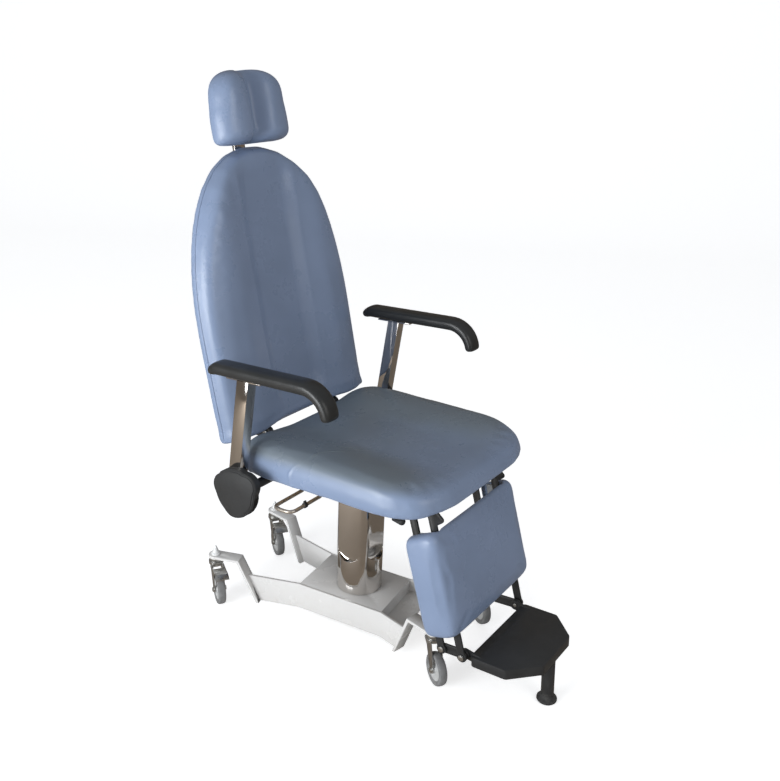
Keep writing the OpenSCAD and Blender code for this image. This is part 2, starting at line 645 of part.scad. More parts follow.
module back_hinge_pins() color("silver") raked() both() {
  translate([link_half, hinge_u[0], hinge_u[1]]) rotate([0, 90, 0])
    cylinder(h = steel_t + back_plate_t + 2 * play, r = pin_r, $fn = small_fn);
  translate([link_half + steel_t + back_plate_t + 2 * play, hinge_u[0], hinge_u[1]]) rotate([0, 90, 0])
    cylinder(h = nut_t, r = pin_r * 1.7, $fn = 6);
}

// Seat board and cushion

seat_mid = (seat_front - seat_rear) / 2;      // middle of the seat in front of the column
seat_hl = (seat_front + seat_rear) / 2;
seat_hw = seat_w / 2;
board_in = 26;                                // inset of the boards from the cushions' outlines
seat_n_rear = 12;                             // squareness of the rear and the front corners
seat_n_front = 5.5;
seat_form = outline(seat_hw, seat_hl, seat_hl, seat_n_rear, seat_n_front, false);
module seat_outline(inset) polygon([
  for (p = ring(seat_form, inset)) [p[0], p[1] - seat_mid]]);
module seat_board() color("tan") raked() translate([0, 0, seat_z])
  linear_extrude(board_t) seat_outline(board_in + soft_gap);
// Top of the seat above the cushion's lower face: dished middle, raised sides, front rolled down
seat_slope = 16;     // fall of the side bolsters from rear to front
seat_roll = 22;      // further fall of the rolled front edge
function seat_top(x, y) =
  seat_t - seat_dish * (1 - ease(abs(x) / seat_hw, 0.25, 0.78)) * ease(y, -seat_hl, -seat_hl * 0.45)
    - seat_slope * ease(-y, -seat_hl, seat_hl * 0.9)
    - seat_roll * pow(ease(-y, seat_hl * 0.3, seat_hl * 1.1), 1.4);
// Inset and height of the side, as shares of the thickness; the rim hangs a little towards the front
seat_skin_shares = [[0.5, 0], [0.34, -0.1], [0.16, -0.15], [0.05, -0.06], [0.015, 0.1], [0, 0.32],
  [0.015, 0.55], [0.06, 0.77], [0.14, 0.92], [0.26, 1]];
seat_inner_shares = [0.86, 0.7, 0.52, 0.34, 0.17];   // inner rings of the top, as shares of its reach
function seat_ring(s) = [
  for (p = ring(seat_form, s[0] * seat_t)) let (
    h = s[1] < 0 ? s[1] * ease(-p[1], 0, seat_hl) * ease(abs(p[0]) / seat_hw, 0.7, 0.9) : s[1])
    [p[0], p[1] - seat_mid, h * seat_top(p[0], p[1])]];
function seat_top_ring(k) = [
  for (p = ring(seat_form, seat_skin_shares[9][0] * seat_t))
    [p[0] * k, p[1] * k - seat_mid, seat_top(p[0] * k, p[1] * k)]];
module seat_cushion() color("steelblue") raked() translate([0, 0, seat_z]) difference() {
  skin(concat([for (s = seat_skin_shares) seat_ring(s)], [for (k = seat_inner_shares) seat_top_ring(k)]),
    [0, -seat_mid, 0], [0, -seat_mid, seat_top(0, 0)]);
  translate([0, 0, -lap]) linear_extrude(board_t + lap) seat_outline(board_in);
}

// Release loop under the sitter's right side, and the short lever at the front

loop_r = 4;
loop_out = 291;      // reach of the loop from the chair's middle
loop_z = 445;        // height of its hand end
loop_bend = 22;      // radius of the loop's hand end
knee_in = 24;        // bend of each leg, from the pivot
module rod(a, b, r) {
  d = b - a;
  translate(a) rotate([0, acos(d[2] / norm(d)), atan2(d[1], d[0])])
    cylinder(h = norm(d), r = r, $fn = small_fn);
}
module ball(p, r) translate(p) sphere(r = r, $fn = small_fn);
module release_loop() color("silver") raked() {
  knee = loop_pivot[0] - knee_in;
  for (y = loop_y) {
    rod([loop_pivot[0], y, loop_pivot[1]], [knee, y, loop_z], loop_r);
    rod([knee, y, loop_z], [loop_bend - loop_out, y, loop_z], loop_r);
    ball([knee, y, loop_z], loop_r);
    ball([loop_pivot[0], y, loop_pivot[1]], loop_r);
  }
  for (s = [0, 1]) translate([loop_bend - loop_out, loop_y[s] + (s == 0 ? 1 : -1) * loop_bend, loop_z])
    rotate([0, 0, s == 0 ? 180 : 90]) rotate_extrude(angle = 90, $fn = small_fn)
      translate([loop_bend, 0]) circle(r = loop_r, $fn = small_fn);
  rod([-loop_out, loop_y[0] + loop_bend, loop_z], [-loop_out, loop_y[1] - loop_bend, loop_z], loop_r);
  rod([loop_pivot[0], loop_y[0] - boss_r, loop_pivot[1]], [loop_pivot[0], loop_y[1] + boss_r, loop_pivot[1]],
    loop_r);
}
clip_x = -243;
module loop_clip() color("black") raked() translate([clip_x, loop_y[0], loop_z]) rotate([0, 90, 0])
  difference() {
    union() {
      cylinder(h = 2 * loop_r, r = loop_r * 1.8, $fn = small_fn);
      translate([-3 * loop_r, -loop_r / 2, 0]) cube([3 * loop_r, loop_r, 2 * loop_r]);
    }
    translate([0, 0, -lap]) cylinder(h = 2 * loop_r + 2 * lap, r = loop_r, $fn = small_fn);
  }
lever_r = 5;
lever_out = 206;     // reach of the lever from the chair's middle
lever_grip = [-292, 466];
grip_r = 9;
grip_l = 22;
module leg_release_lever() color("black") raked() {
  rod([-link_half + rail_w / 2 - 2 * lap, lever_pivot[0], lever_pivot[1]],
    [-lever_out, lever_pivot[0], lever_pivot[1]], lever_r);
  rod([-lever_out, lever_pivot[0], lever_pivot[1]], [-lever_out, lever_grip[0], lever_grip[1]], lever_r);
  ball([-lever_out, lever_pivot[0], lever_pivot[1]], lever_r);
  rod([-lever_out, lever_grip[0] + grip_l / 2, lever_grip[1] + lever_r / 2],
    [-lever_out, lever_grip[0] - grip_l / 2, lever_grip[1] - lever_r / 2], grip_r);
  ball([-lever_out, lever_grip[0] - grip_l / 2, lever_grip[1] - lever_r / 2], grip_r);
}

// Arms

mount_t = 4;
post_set = [40, 12];                              // from the arm's pivot, in (y, z)
post_foot = [arm_pivot_y, arm_pivot_z] + post_set;       // lower end of the post's axis
post_len = (pad_z - mount_t - post_foot[1]) / cos(post_lean);
mount_l = 110;       // plate between post and pad
mount_w = 26;
module arm_post() color("silver") raked() {
  translate([post_x, post_foot[0], post_foot[1]]) rotate([post_lean, 0, 0]) difference() {
    translate([-post_w / 2, -post_l / 2, 0]) cube([post_w, post_l, post_len + post_l]);
    translate([-post_w, 0, post_len]) rotate([-post_lean, 0, 0])
      translate([0, -2 * post_l, mount_t / 2]) cube([2 * post_w, 4 * post_l, 3 * post_l]);
  }
  translate([post_x - mount_w / 2, post_foot[0] - sin(post_lean) * post_len - mount_l / 2, pad_z - mount_t])
    cube([mount_w, mount_l, mount_t]);
}
module arm_post_left() arm_post();
module arm_post_right() mirror([1, 0, 0]) arm_post();

// Curved pad: a rounded section swept along a straight run and a bend down at the front
pad_mid_r = pad_r + pad_t / 2;
pad_sweep = 84;
pad_steps = 8;
// Rear end and nose of the pad: distance from the end and size of the section, as shares
pad_end_shares = [[0, 0.25], [0.012, 0.55], [0.035, 0.8], [0.07, 0.95], [0.12, 1]];
pad_tip_shares = [[0.10, 0.78], [0.17, 0.6], [0.2, 0.35]];
pad_nose_share = 0.22;
pad_taper_share = 0.14;
pad_run = pad_rear + pad_bend;
function pad_section(w, t) = [for (a = [0:20:340])
  [w / 2 * sign(cos(a)) * pow(abs(cos(a)), 0.72), t / 2 * sign(sin(a)) * pow(abs(sin(a)), 0.72)]];
function pad_station(y, z, tilt, k) = [for (p = pad_section(pad_w * (0.35 + 0.65 * k), pad_t * k))
  [p[0], y - p[1] * sin(tilt), z + p[1] * cos(tilt)]];
module arm_pad_shape() {
  zc = pad_z + pad_t / 2;
  straight = [for (e = pad_end_shares) pad_station(pad_rear - e[0] * pad_run, zc, 0, e[1])];
  bend = [for (i = [0:pad_steps]) let (a = pad_sweep * i / pad_steps, k = 1 - pad_taper_share * i / pad_steps)
    pad_station(-pad_bend - pad_mid_r * sin(a), pad_z - pad_r + pad_mid_r * cos(a), a, k)];
  tip_y = -pad_bend - pad_mid_r * sin(pad_sweep);
  tip_z = pad_z - pad_r + pad_mid_r * cos(pad_sweep);
  out = pad_t * [-cos(pad_sweep), -sin(pad_sweep)];
  tip = [for (e = pad_tip_shares)
    pad_station(tip_y + e[0] * out[0], tip_z + e[0] * out[1], pad_sweep, e[1])];
  skin(concat(straight, bend, tip), [0, pad_rear + lap / 2, zc],
    [0, tip_y + pad_nose_share * out[0], tip_z + pad_nose_share * out[1]]);
}
module arm_pad() color("dimgray") raked() translate([arm_x, 0, 0]) arm_pad_shape();
module arm_pad_left() arm_pad();
module arm_pad_right() mirror([1, 0, 0]) arm_pad();

// Pivot shield: rounded triangle outside the post, bored for the arm pin
shield_t = 22;
shield_r = 32;
shield_shares = [[2.09, 0.14], [-1.09, 1.03], [1, -1.49]];   // corners from the pivot, in corner radii
shield_edge = 5;
module shield_profile(inset) hull() for (s = shield_shares)
  translate([arm_pivot_y + s[0] * shield_r, arm_pivot_z + s[1] * shield_r])
    circle(r = shield_r - inset, $fn = hull_fn);
module pivot_cover() color("black") raked() difference() {
  union() {
    side_plate(shield_in, shield_t - shield_edge) shield_profile(0);
    side_plate(shield_in + shield_t - shield_edge - lap / 4, shield_edge / 2)
      shield_profile(shield_edge / 3);
    side_plate(shield_in + shield_t - shield_edge / 2 - lap / 2, shield_edge / 2)
      shield_profile(shield_edge);
  }
  translate([shield_in - lap, arm_pivot_y, arm_pivot_z]) rotate([0, 90, 0])
    cylinder(h = shield_t - shield_edge, r = pin_r + slip, $fn = small_fn);
}
// Pins of the arms, pressed in the ends of the outrigger bars
module arm_pins() color("silver") raked() both()
  translate([shield_in - play - arm_pin_l + 2 * lap, arm_pivot_y, arm_pivot_z]) rotate([0, 90, 0])
    cylinder(h = arm_pin_l + shield_t - shield_edge - 4 * lap, r = pin_r, $fn = small_fn);
module pivot_cover_left() pivot_cover();
module pivot_cover_right() mirror([1, 0, 0]) pivot_cover();

// Back

back_plate_t = 8;
back_rail = 50;              // rear face of the back frame from the hinge
back_plate_x = link_half + steel_t + play;
back_up = back_l * 0.644;      // the backrest's widest level up to its top
back_down = back_l - back_up;
back_mid = back_gap + back_down;
back_hw = back_w / 2;
back_n_up = 2.2;
back_n_down = 18;
back_form = outline(back_hw, back_up, back_down, back_n_up, back_n_down, true);
module back_plate() difference() {
  union() {
    circle(r = boss_r + pin_r / 2, $fn = small_fn);
    polygon([[0, -boss_r], [back_rear + back_plate_t, -boss_r / 2],
      [back_rear + back_plate_t, back_l * 0.62], [back_rear, back_l * 0.62],
      [back_rear, boss_r], [0, boss_r]]);
  }
  circle(r = pin_r + slip, $fn = small_fn);
}
module back_frame() color("black") on_back() {
  both() side_plate(back_plate_x, back_plate_t) back_plate();
  for (z = [0.17, 0.4, 0.58]) translate([-back_plate_x - lap, back_rear, z * back_l])
    cube([2 * (back_plate_x + lap), steel_t, rail_w]);
}
module back_outline(inset) polygon([
  for (p = ring(back_form, inset)) [p[0], p[1] + back_mid]]);
// A plane drawn in (x, z) that is extruded forward from the depth y
module back_slab(y, t) translate([0, y, 0]) rotate([90, 0, 0]) linear_extrude(t) children();
module back_board() color("tan") on_back() back_slab(back_rear, board_t) back_outline(board_in + soft_gap);
// Front of the backrest, as depth from its rear face: two bolsters and a broad valley between them
function back_front(x, z) = let (w = abs(x) / back_hw, h = (z + back_down) / back_l)
  back_t - back_valley * (1 - ease(w, 0.28, 0.66)) * (1 - ease(h, 0.72, 0.95))
    - back_t * 0.14 * ease(w, 0.72, 1) - back_t * 0.12 * ease(h, 0.8, 1);
back_skin_shares = [[0.10, 0], [0.03, 0.06], [0.005, 0.18], [0, 0.36], [0.02, 0.58], [0.08, 0.79],
  [0.18, 0.93], [0.32, 1]];
back_inner_shares = [0.84, 0.68, 0.52, 0.34, 0.16];
function back_ring(s) = [
  for (p = ring(back_form, s[0] * back_t))
    [p[0], -s[1] * back_front(p[0], p[1]), p[1]]];
function back_front_ring(k) = [
  for (p = ring(back_form, back_skin_shares[7][0] * back_t))
    [p[0] * k, -back_front(p[0] * k, p[1] * k), p[1] * k]];
module back_cushion() color("steelblue") on_back() difference() {
  translate([0, back_rear, back_mid]) skin(
    concat([for (s = back_skin_shares) back_ring(s)], [for (k = back_inner_shares) back_front_ring(k)]),
    [0, 0, 0], [0, -back_front(0, 0), 0]);
  back_slab(back_rear + lap, board_t + lap) back_outline(board_in);
}

// Headrest

bar_half = 20;               // half the width of the headrest bar
bar_depth = 8;               // its thickness
head_bar_y = back_rear + steel_t + play;
guide_z = back_l * 0.66;
guide_h = 70;
guide_t = 5;
knob_r = 19;
knob_l = 20;
knob_stem = 12;
head_z0 = back_gap + back_l + head_gap;       // lower edge of the headrest
head_down = head_l * 0.22;
head_up = head_l - head_down;
head_mid = head_z0 + head_down;
tilt_z = head_z0 + head_l * 0.36;             // height of the headrest's tilt axis
tilt_y = head_bar_y + bar_depth / 2;
module headrest_guide() color("black") on_back() difference() {
  union() {
    translate([-bar_half - guide_t - play, back_rear, guide_z])
      cube([2 * (bar_half + guide_t + play), head_bar_y + bar_depth + play + guide_t - back_rear, guide_h]);
    translate([0, head_bar_y + bar_depth + play + guide_t - lap, guide_z + guide_h / 2]) rotate([-90, 0, 0])
      cylinder(h = guide_t + lap, r = knob_r * 0.6, $fn = small_fn);
  }
  translate([-bar_half - play, head_bar_y - play, guide_z - lap])
    cube([2 * (bar_half + play), bar_depth + 2 * play, guide_h + 2 * lap]);
  translate([0, head_bar_y, guide_z + guide_h / 2]) rotate([-90, 0, 0])
    cylinder(h = bar_depth + 4 * guide_t, r = pin_r + slip, $fn = small_fn);
}
// Hand knob with six lobes on a screw
module clamp_knob() color("black") on_back()
  translate([0, head_bar_y + bar_depth + play, guide_z + guide_h / 2]) rotate([-90, 0, 0]) {
    cylinder(h = 2 * guide_t + knob_stem, r = pin_r, $fn = small_fn);
    translate([0, 0, 2 * guide_t + play]) difference() {
      cylinder(h = knob_l, r = knob_r, $fn = small_fn);
      for (a = [0:60:300]) rotate([0, 0, a]) translate([knob_r * 1.12, 0, -lap])
        cylinder(h = knob_l + 2 * lap, r = knob_r * 0.3, $fn = small_fn);
    }
  }
bar_bottom = guide_z - head_travel + guide_h / 2;
module headrest_bar() color("silver") on_back() difference() {
  union() {
    translate([-bar_half, head_bar_y, bar_bottom]) cube([2 * bar_half, bar_depth, tilt_z - bar_bottom]);
    translate([-bar_half, tilt_y, tilt_z]) rotate([0, 90, 0])
      cylinder(h = 2 * bar_half, r = boss_r * 0.75, $fn = small_fn);
  }
  translate([-bar_half - lap, tilt_y, tilt_z]) rotate([0, 90, 0])
    cylinder(h = 2 * (bar_half + lap), r = pin_r + slip, $fn = small_fn);
}
// Two ears and a plate on the headrest's board, with the tilt pin between the ears
module headrest_bracket() color("black") on_back() {
  both() side_plate(bar_half + play, guide_t) {
    translate([tilt_y, tilt_z]) circle(r = boss_r, $fn = small_fn);
    polygon([[head_rear, tilt_z - 2 * boss_r], [head_rear + guide_t, tilt_z - 2 * boss_r],
      [tilt_y, tilt_z - boss_r], [tilt_y, tilt_z + boss_r],
      [head_rear + guide_t, tilt_z + 2 * boss_r], [head_rear, tilt_z + 2 * boss_r]]);
  }
  translate([-3 * bar_half, head_rear, tilt_z - 2 * boss_r]) cube([6 * bar_half, guide_t, 4 * boss_r]);
  translate([-bar_half - play - guide_t / 2, tilt_y, tilt_z]) rotate([0, 90, 0])
    cylinder(h = 2 * (bar_half + play) + guide_t, r = pin_r, $fn = small_fn);
}
head_hw = head_w / 2;
head_n_up = 2.4;
head_n_down = 7;
head_form = outline(head_hw, head_up, head_down, head_n_up, head_n_down, true);
module head_outline(inset) polygon([
  for (p = ring(head_form, inset)) [p[0], p[1] + head_mid]]);
head_in = 20;
module headrest_board() color("tan") on_back()
  back_slab(head_rear, board_t) head_outline(head_in + soft_gap);
// Front of the headrest: two lobes with a narrow valley
function head_front(x, z) = let (w = abs(x) / head_hw, h = (z + head_down) / head_l)
  head_t - head_valley * (1 - ease(w, 0, 0.42)) * (1 - 0.35 * ease(h, 0.75, 1))
    - head_t * 0.2 * ease(w, 0.55, 1) - head_t * 0.1 * ease(h, 0.7, 1);
head_skin_shares = [[0.10, 0], [0.02, 0.08], [0, 0.25], [0.01, 0.45], [0.06, 0.66], [0.15, 0.85],
  [0.27, 0.96]];
head_inner_shares = [0.86, 0.7, 0.52, 0.34, 0.17];
function head_ring(s) = [
  for (p = ring(head_form, s[0] * head_t))
    [p[0], -s[1] * head_front(p[0], p[1]), p[1]]];
function head_front_ring(k) = [
  for (p = ring(head_form, head_skin_shares[6][0] * head_t))
    [p[0] * k, -head_front(p[0] * k, p[1] * k), p[1] * k]];
module headrest_cushion() color("steelblue") on_back() difference() {
  translate([0, head_rear, head_mid]) skin(
    concat([for (s = head_skin_shares) head_ring(s)], [for (k = head_inner_shares) head_front_ring(k)]),
    [0, 0, 0], [0, -head_front(0, 0), 0]);
  back_slab(head_rear + lap, board_t + lap) head_outline(head_in);
}

// Leg rest, in the leg frame: z runs down the bars as negative values, -y is forward

bar_half_w = bar_w / 2;
rear_bar_y = bar_pitch * cos(leg_lean) + leg_drop * sin(leg_lean);
rear_bar_z = -leg_drop * cos(leg_lean) + bar_pitch * sin(leg_lean);
// A flat bar with round ends and two eyes, hanging from [y, z]
module bar_profile() {
  for (z = [0, -bar_l]) translate([0, z]) circle(r = boss_r, $fn = small_fn);
  translate([-bar_half_w, -bar_l]) square([bar_w, bar_l]);
}
module bar(x0, y, z, clear) difference() {
  translate([0, y, z]) side_plate(x0, bar_t) bar_profile();
  for (e = [0, -bar_l]) eye([y, z + e], clear, x0, bar_t);
}
horn = [-24, -26];   // forward nose of the front bars above the calf pad, in (y, z)
module front_leg_bars() color("black") on_leg() both() difference() {
  union() {
    bar(front_bar_x, 0, 0, pin_r + slip);
    side_plate(front_bar_x, bar_t) hull() {
      circle(r = boss_r, $fn = hull_fn);
      translate(horn) circle(r = bar_half_w * 0.8, $fn = hull_fn);
      translate([0, horn[1] - bar_half_w]) circle(r = bar_half_w * 0.8, $fn = hull_fn);
    }
  }
  eye([0, 0], pin_r + slip, front_bar_x, bar_t);
}
module rear_leg_bars() color("black") on_leg() {
  both() bar(rear_bar_x, rear_bar_y, rear_bar_z, pin_r + slip);
  translate([-rear_bar_x - bar_t / 2, rear_bar_y, rear_bar_z - bar_l * 0.7]) rotate([0, 90, 0])
    cylinder(h = 2 * rear_bar_x + bar_t, r = bar_half_w * 0.8, $fn = small_fn);
}
// Sheet pan bolted on the front edges of the front bars
pan_t = 3;
pan_x = front_bar_x + bar_t + nut_t + 3;
pan_inset = 14;
pan_depth = 46;
module calf_pan() color("dimgray") on_leg() {
  translate([-pan_x - pan_t, -bar_half_w - pan_t, -calf_bottom + pan_inset])
    cube([2 * (pan_x + pan_t), pan_t, calf_bottom - calf_top - 2 * pan_inset]);
  both() translate([pan_x, -bar_half_w - lap, -calf_bottom + pan_inset])
    cube([pan_t, pan_depth + lap, calf_bottom - calf_top - 2 * pan_inset]);
}
calf_hw = calf_w / 2;
calf_hl = (calf_bottom - calf_top) / 2;
calf_mid = (calf_bottom + calf_top) / 2;
calf_n = 14;
calf_form = outline(calf_hw, calf_hl, calf_hl, calf_n, calf_n, false);
calf_skin_shares = [[0.11, 0], [0.04, 0.04], [0.005, 0.13], [0, 0.3], [0, 0.62], [0.02, 0.8], [0.07, 0.92],
             [0.16, 0.985]];
calf_inner_shares = [0.75, 0.4];
calf_crown = 5;
calf_drop = 16;      // the cheeks' upper corners lie this much lower than the panel's
function calf_front(x, z) = calf_t - calf_crown * (pow(x / calf_hw, 2) + pow(z / calf_hl, 2)) / 2;
function calf_ring(s) = [
  for (p = ring(calf_form, s[0] * calf_t))
    [p[0], -s[1] * calf_front(p[0], p[1]),
     p[1] - calf_drop * (1 - min(1, s[1] / 0.8)) * pow(max(0, p[1] / calf_hl), 4)]];
function calf_front_ring(k) = [
  for (p = ring(calf_form, calf_skin_shares[7][0] * calf_t))
    [p[0] * k, -calf_front(p[0] * k, p[1] * k), p[1] * k]];
module calf_cushion() color("steelblue") on_leg() difference() {
  translate([0, calf_t - calf_face, -calf_mid]) skin(
    concat([for (s = calf_skin_shares) calf_ring(s)], [for (k = calf_inner_shares) calf_front_ring(k)]),
    [0, 0, 0], [0, -calf_front(0, 0), 0]);
  translate([-pan_x - pan_t - soft_gap, -bar_half_w - pan_t, -calf_bottom - lap])
    cube([2 * (pan_x + pan_t + soft_gap), calf_t, calf_bottom - calf_top + 2 * lap]);
}

// Link plates and pins at the lower ends of the bars, level with the seat

drop_y = bar_l * sin(leg_lean);
drop_z = bar_l * cos(leg_lean);
low_front = leg_front - [drop_y, drop_z];
low_rear = leg_rear - [drop_y, drop_z];
module link_plates() color("black") raked() both() difference() {
  side_plate(link_half, bar_t) hull() for (p = [low_front, low_rear])
    translate(p) circle(r = boss_r, $fn = hull_fn);
  for (p = [low_front, low_rear]) eye(p, pin_r, link_half, bar_t);
}
ear_x = link_half - bar_t - play;
module link_pins() color("silver") raked() both() {
  leg_pin(low_rear, rear_bar_x + bar_t);
  leg_pin(low_front, front_bar_x + bar_t);
  spacer(low_front);
  translate([ear_x - play, low_front[0], low_front[1]]) rotate([0, 90, 0])
    cylinder(h = link_half - ear_x + play + lap, r = pin_r, $fn = small_fn);
}

// Footplate with a turned-down skirt, hung on the front lower pins

foot_wall = 4;
corner_r = 12;
module foot_outline(inset) offset(r = corner_r) offset(delta = -corner_r - inset) polygon([
  [-foot_half_w, -foot_rear], [foot_half_w, -foot_rear], [foot_half_w, -foot_side],
  [foot_nose, -foot_front], [-foot_nose, -foot_front], [-foot_half_w, -foot_side]]);
module foot_ear() difference() {
  union() {
    translate(low_front) circle(r = boss_r, $fn = small_fn);
    polygon([[low_front[0], low_front[1] + boss_r], [-foot_rear - 3 * boss_r, foot_z - foot_wall / 2],
      [-foot_rear - 3 * boss_r, foot_z - skirt_h], [low_front[0], low_front[1] - boss_r]]);
  }
  translate(low_front) circle(r = pin_r + slip, $fn = small_fn);
}
module footplate() color("black") raked() {
  difference() {
    translate([0, 0, foot_z - skirt_h]) linear_extrude(skirt_h) foot_outline(0);
    translate([0, 0, foot_z - skirt_h - foot_wall]) linear_extrude(skirt_h) foot_outline(foot_wall);
  }
  both() side_plate(ear_x, bar_t) foot_ear();
}
rubber_h = 22;
// Post square with the plate, on a rubber foot that stands level
module foot_post() color("black") difference() {
  raked() translate([0, -post_foot_y, -foot_z]) cylinder(h = 2 * foot_z - foot_wall, d = foot_post_d,
    $fn = small_fn);
  at_column() translate([-foot_post_d, -post_foot_y - foot_post_d, -2 * foot_z])
    cube([2 * foot_post_d, 2 * foot_post_d, 2 * foot_z + rubber_h]);
}
module rubber_foot() color("black") at_column() translate([0, -post_foot_y, 0])
  rotate_extrude($fn = round_fn) polygon([[0, 0], [rubber_d * 0.44, 0], [rubber_d / 2, rubber_h * 0.16],
    [rubber_d / 2, rubber_h * 0.36], [rubber_d * 0.36, rubber_h * 0.56], [foot_post_d / 2, rubber_h * 0.7],
    [foot_post_d / 2, rubber_h], [0, rubber_h]]);

side_member_left();
side_member_right();
deck();
castor_stems();
cap_nuts();
column_guide();
guide_bushes();
lift_cylinder();
riser_tube();
lift_rod();
column_shroud();
head_plate();
seat_frame();
seat_board();
seat_cushion();
leg_pivot_pins();
back_hinge_pins();
arm_pins();
release_loop();
loop_clip();
leg_release_lever();
arm_post_left();
arm_post_right();
arm_pad_left();
arm_pad_right();
pivot_cover_left();
pivot_cover_right();
back_frame();
back_board();
back_cushion();
headrest_guide();
clamp_knob();
headrest_bar();
headrest_bracket();
headrest_board();
headrest_cushion();
front_leg_bars();
rear_leg_bars();
calf_pan();
calf_cushion();
link_plates();
link_pins();
footplate();
foot_post();
rubber_foot();
fork_rear_left();
fork_rear_right();
fork_front_left();
fork_front_right();
hub_rear_left();
hub_rear_right();
hub_front_left();
hub_front_right();
tyre_rear_left();
tyre_rear_right();
tyre_front_left();
tyre_front_right();
brake_pedal_left();
brake_pedal_right();
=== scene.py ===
"""Looks of the ear, nose and throat examination chair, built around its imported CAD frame."""

import json
import math

import bmesh
import bpy
import numpy as np
from mathutils import Matrix, Vector


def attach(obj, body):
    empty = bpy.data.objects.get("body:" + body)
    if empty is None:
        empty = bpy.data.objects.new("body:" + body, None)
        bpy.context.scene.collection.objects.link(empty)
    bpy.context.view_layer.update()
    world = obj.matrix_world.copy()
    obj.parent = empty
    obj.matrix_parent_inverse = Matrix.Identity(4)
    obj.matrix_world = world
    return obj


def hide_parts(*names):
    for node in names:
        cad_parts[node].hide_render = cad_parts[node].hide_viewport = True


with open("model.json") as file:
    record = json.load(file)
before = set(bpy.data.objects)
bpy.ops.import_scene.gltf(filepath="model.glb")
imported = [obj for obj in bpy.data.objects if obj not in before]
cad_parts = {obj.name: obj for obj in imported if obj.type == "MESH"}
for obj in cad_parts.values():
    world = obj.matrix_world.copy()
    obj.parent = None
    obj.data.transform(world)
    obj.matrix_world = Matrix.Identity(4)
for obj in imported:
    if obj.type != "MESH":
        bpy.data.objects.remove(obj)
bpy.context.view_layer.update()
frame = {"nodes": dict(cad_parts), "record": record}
record = frame["record"]
nodes = frame["nodes"]
SLOT_OF = {s["node"]: s["material_slot"] for s in record["subparts"]}
BODY_OF = {n: body for body, members in record["behaviour"]["bodies"].items() for n in members}
MM = 0.001

# Frames of the CAD part, in millimetres
COLUMN_Y = 79.2
SEAT_RAKE = math.radians(4.3)
BACK_LEAN = math.radians(13.2)
LEG_LEAN = math.radians(13.5)
BACK_HINGE = (215, 545)
LEG_PIVOT = (-344, 481)


def shifted(x, y, z):
    return Matrix.Translation((x * MM, y * MM, z * MM))


def leaned(angle):
    return Matrix.Rotation(-angle, 4, "X")


SEAT_FRAME = shifted(0, COLUMN_Y, 0) @ leaned(SEAT_RAKE)
BACK_FRAME = shifted(0, COLUMN_Y + BACK_HINGE[0], BACK_HINGE[1]) @ leaned(BACK_LEAN)
LEG_FRAME = SEAT_FRAME @ shifted(0, *LEG_PIVOT) @ leaned(LEG_LEAN)


def at(matrix, x, y, z):
    """A point given in millimetres in one of the chair's own frames, in metres in the row frame."""
    return matrix @ Vector((x * MM, y * MM, z * MM))


# Shader groups


def link(tree, a, b):
    tree.links.new(a, b)


def shader_group(name, inputs, outputs):
    tree = bpy.data.node_groups.new(name, "ShaderNodeTree")
    for label, kind, value in inputs:
        socket = tree.interface.new_socket(name=label, in_out="INPUT", socket_type=kind)
        socket.default_value = value
    for label, kind in outputs:
        tree.interface.new_socket(name=label, in_out="OUTPUT", socket_type=kind)
    start = tree.nodes.new("NodeGroupInput")
    end = tree.nodes.new("NodeGroupOutput")
    return tree, start, end


def noise_in(tree, scale, detail=4.0, rough=0.55, stretch=None):
    """A noise on the piece's own coordinates; scale is a number or a socket."""
    place = tree.nodes.new("ShaderNodeTexCoord").outputs["Object"]
    if stretch:
        mapping = tree.nodes.new("ShaderNodeMapping")
        mapping.inputs["Scale"].default_value = stretch
        link(tree, place, mapping.inputs["Vector"])
        place = mapping.outputs["Vector"]
    noise = tree.nodes.new("ShaderNodeTexNoise")
    noise.inputs["Detail"].default_value = detail
    noise.inputs["Roughness"].default_value = rough
    link(tree, place, noise.inputs["Vector"])
    if isinstance(scale, (int, float)):
        noise.inputs["Scale"].default_value = scale
    else:
        link(tree, scale, noise.inputs["Scale"])
    return noise.outputs["Fac"]


def range_of(tree, value, low, high, to_low=0.0, to_high=1.0, smooth=True):
    node = tree.nodes.new("ShaderNodeMapRange")
    node.interpolation_type = "SMOOTHSTEP" if smooth else "LINEAR"
    for label, number in (("From Min", low), ("From Max", high), ("To Min", to_low), ("To Max", to_high)):
        if isinstance(number, (int, float)):
            node.inputs[label].default_value = number
        else:
            link(tree, number, node.inputs[label])
    link(tree, value, node.inputs["Value"])
    return node.outputs["Result"]


def maths(tree, kind, a, b):
    node = tree.nodes.new("ShaderNodeMath")
    node.operation = kind
    for socket, value in zip(node.inputs, (a, b)):
        if isinstance(value, (int, float)):
            socket.default_value = value
        else:
            link(tree, value, socket)
    return node.outputs["Value"]


def colour_mix(tree, factor, a, b):
    node = tree.nodes.new("ShaderNodeMix")
    node.data_type = "RGBA"
    link(tree, factor, node.inputs["Factor"])
    for socket, value in ((node.inputs[6], a), (node.inputs[7], b)):
        if isinstance(value, tuple):
            socket.default_value = value
        else:
            link(tree, value, socket)
    return node.outputs[2]


def make_colour_drift():
    tree, start, end = shader_group(
        "colour_drift",
        [("Light", "NodeSocketColor", (1, 1, 1, 1)), ("Dark", "NodeSocketColor", (0, 0, 0, 1)),
         ("Scale", "NodeSocketFloat", 3.0)],
        [("Color", "NodeSocketColor")])
    cloud = noise_in(tree, start.outputs["Scale"], 3.0)
    share = range_of(tree, cloud, 0.32, 0.68)
    link(tree, colour_mix(tree, share, start.outputs["Dark"], start.outputs["Light"]), end.inputs["Color"])
    return tree


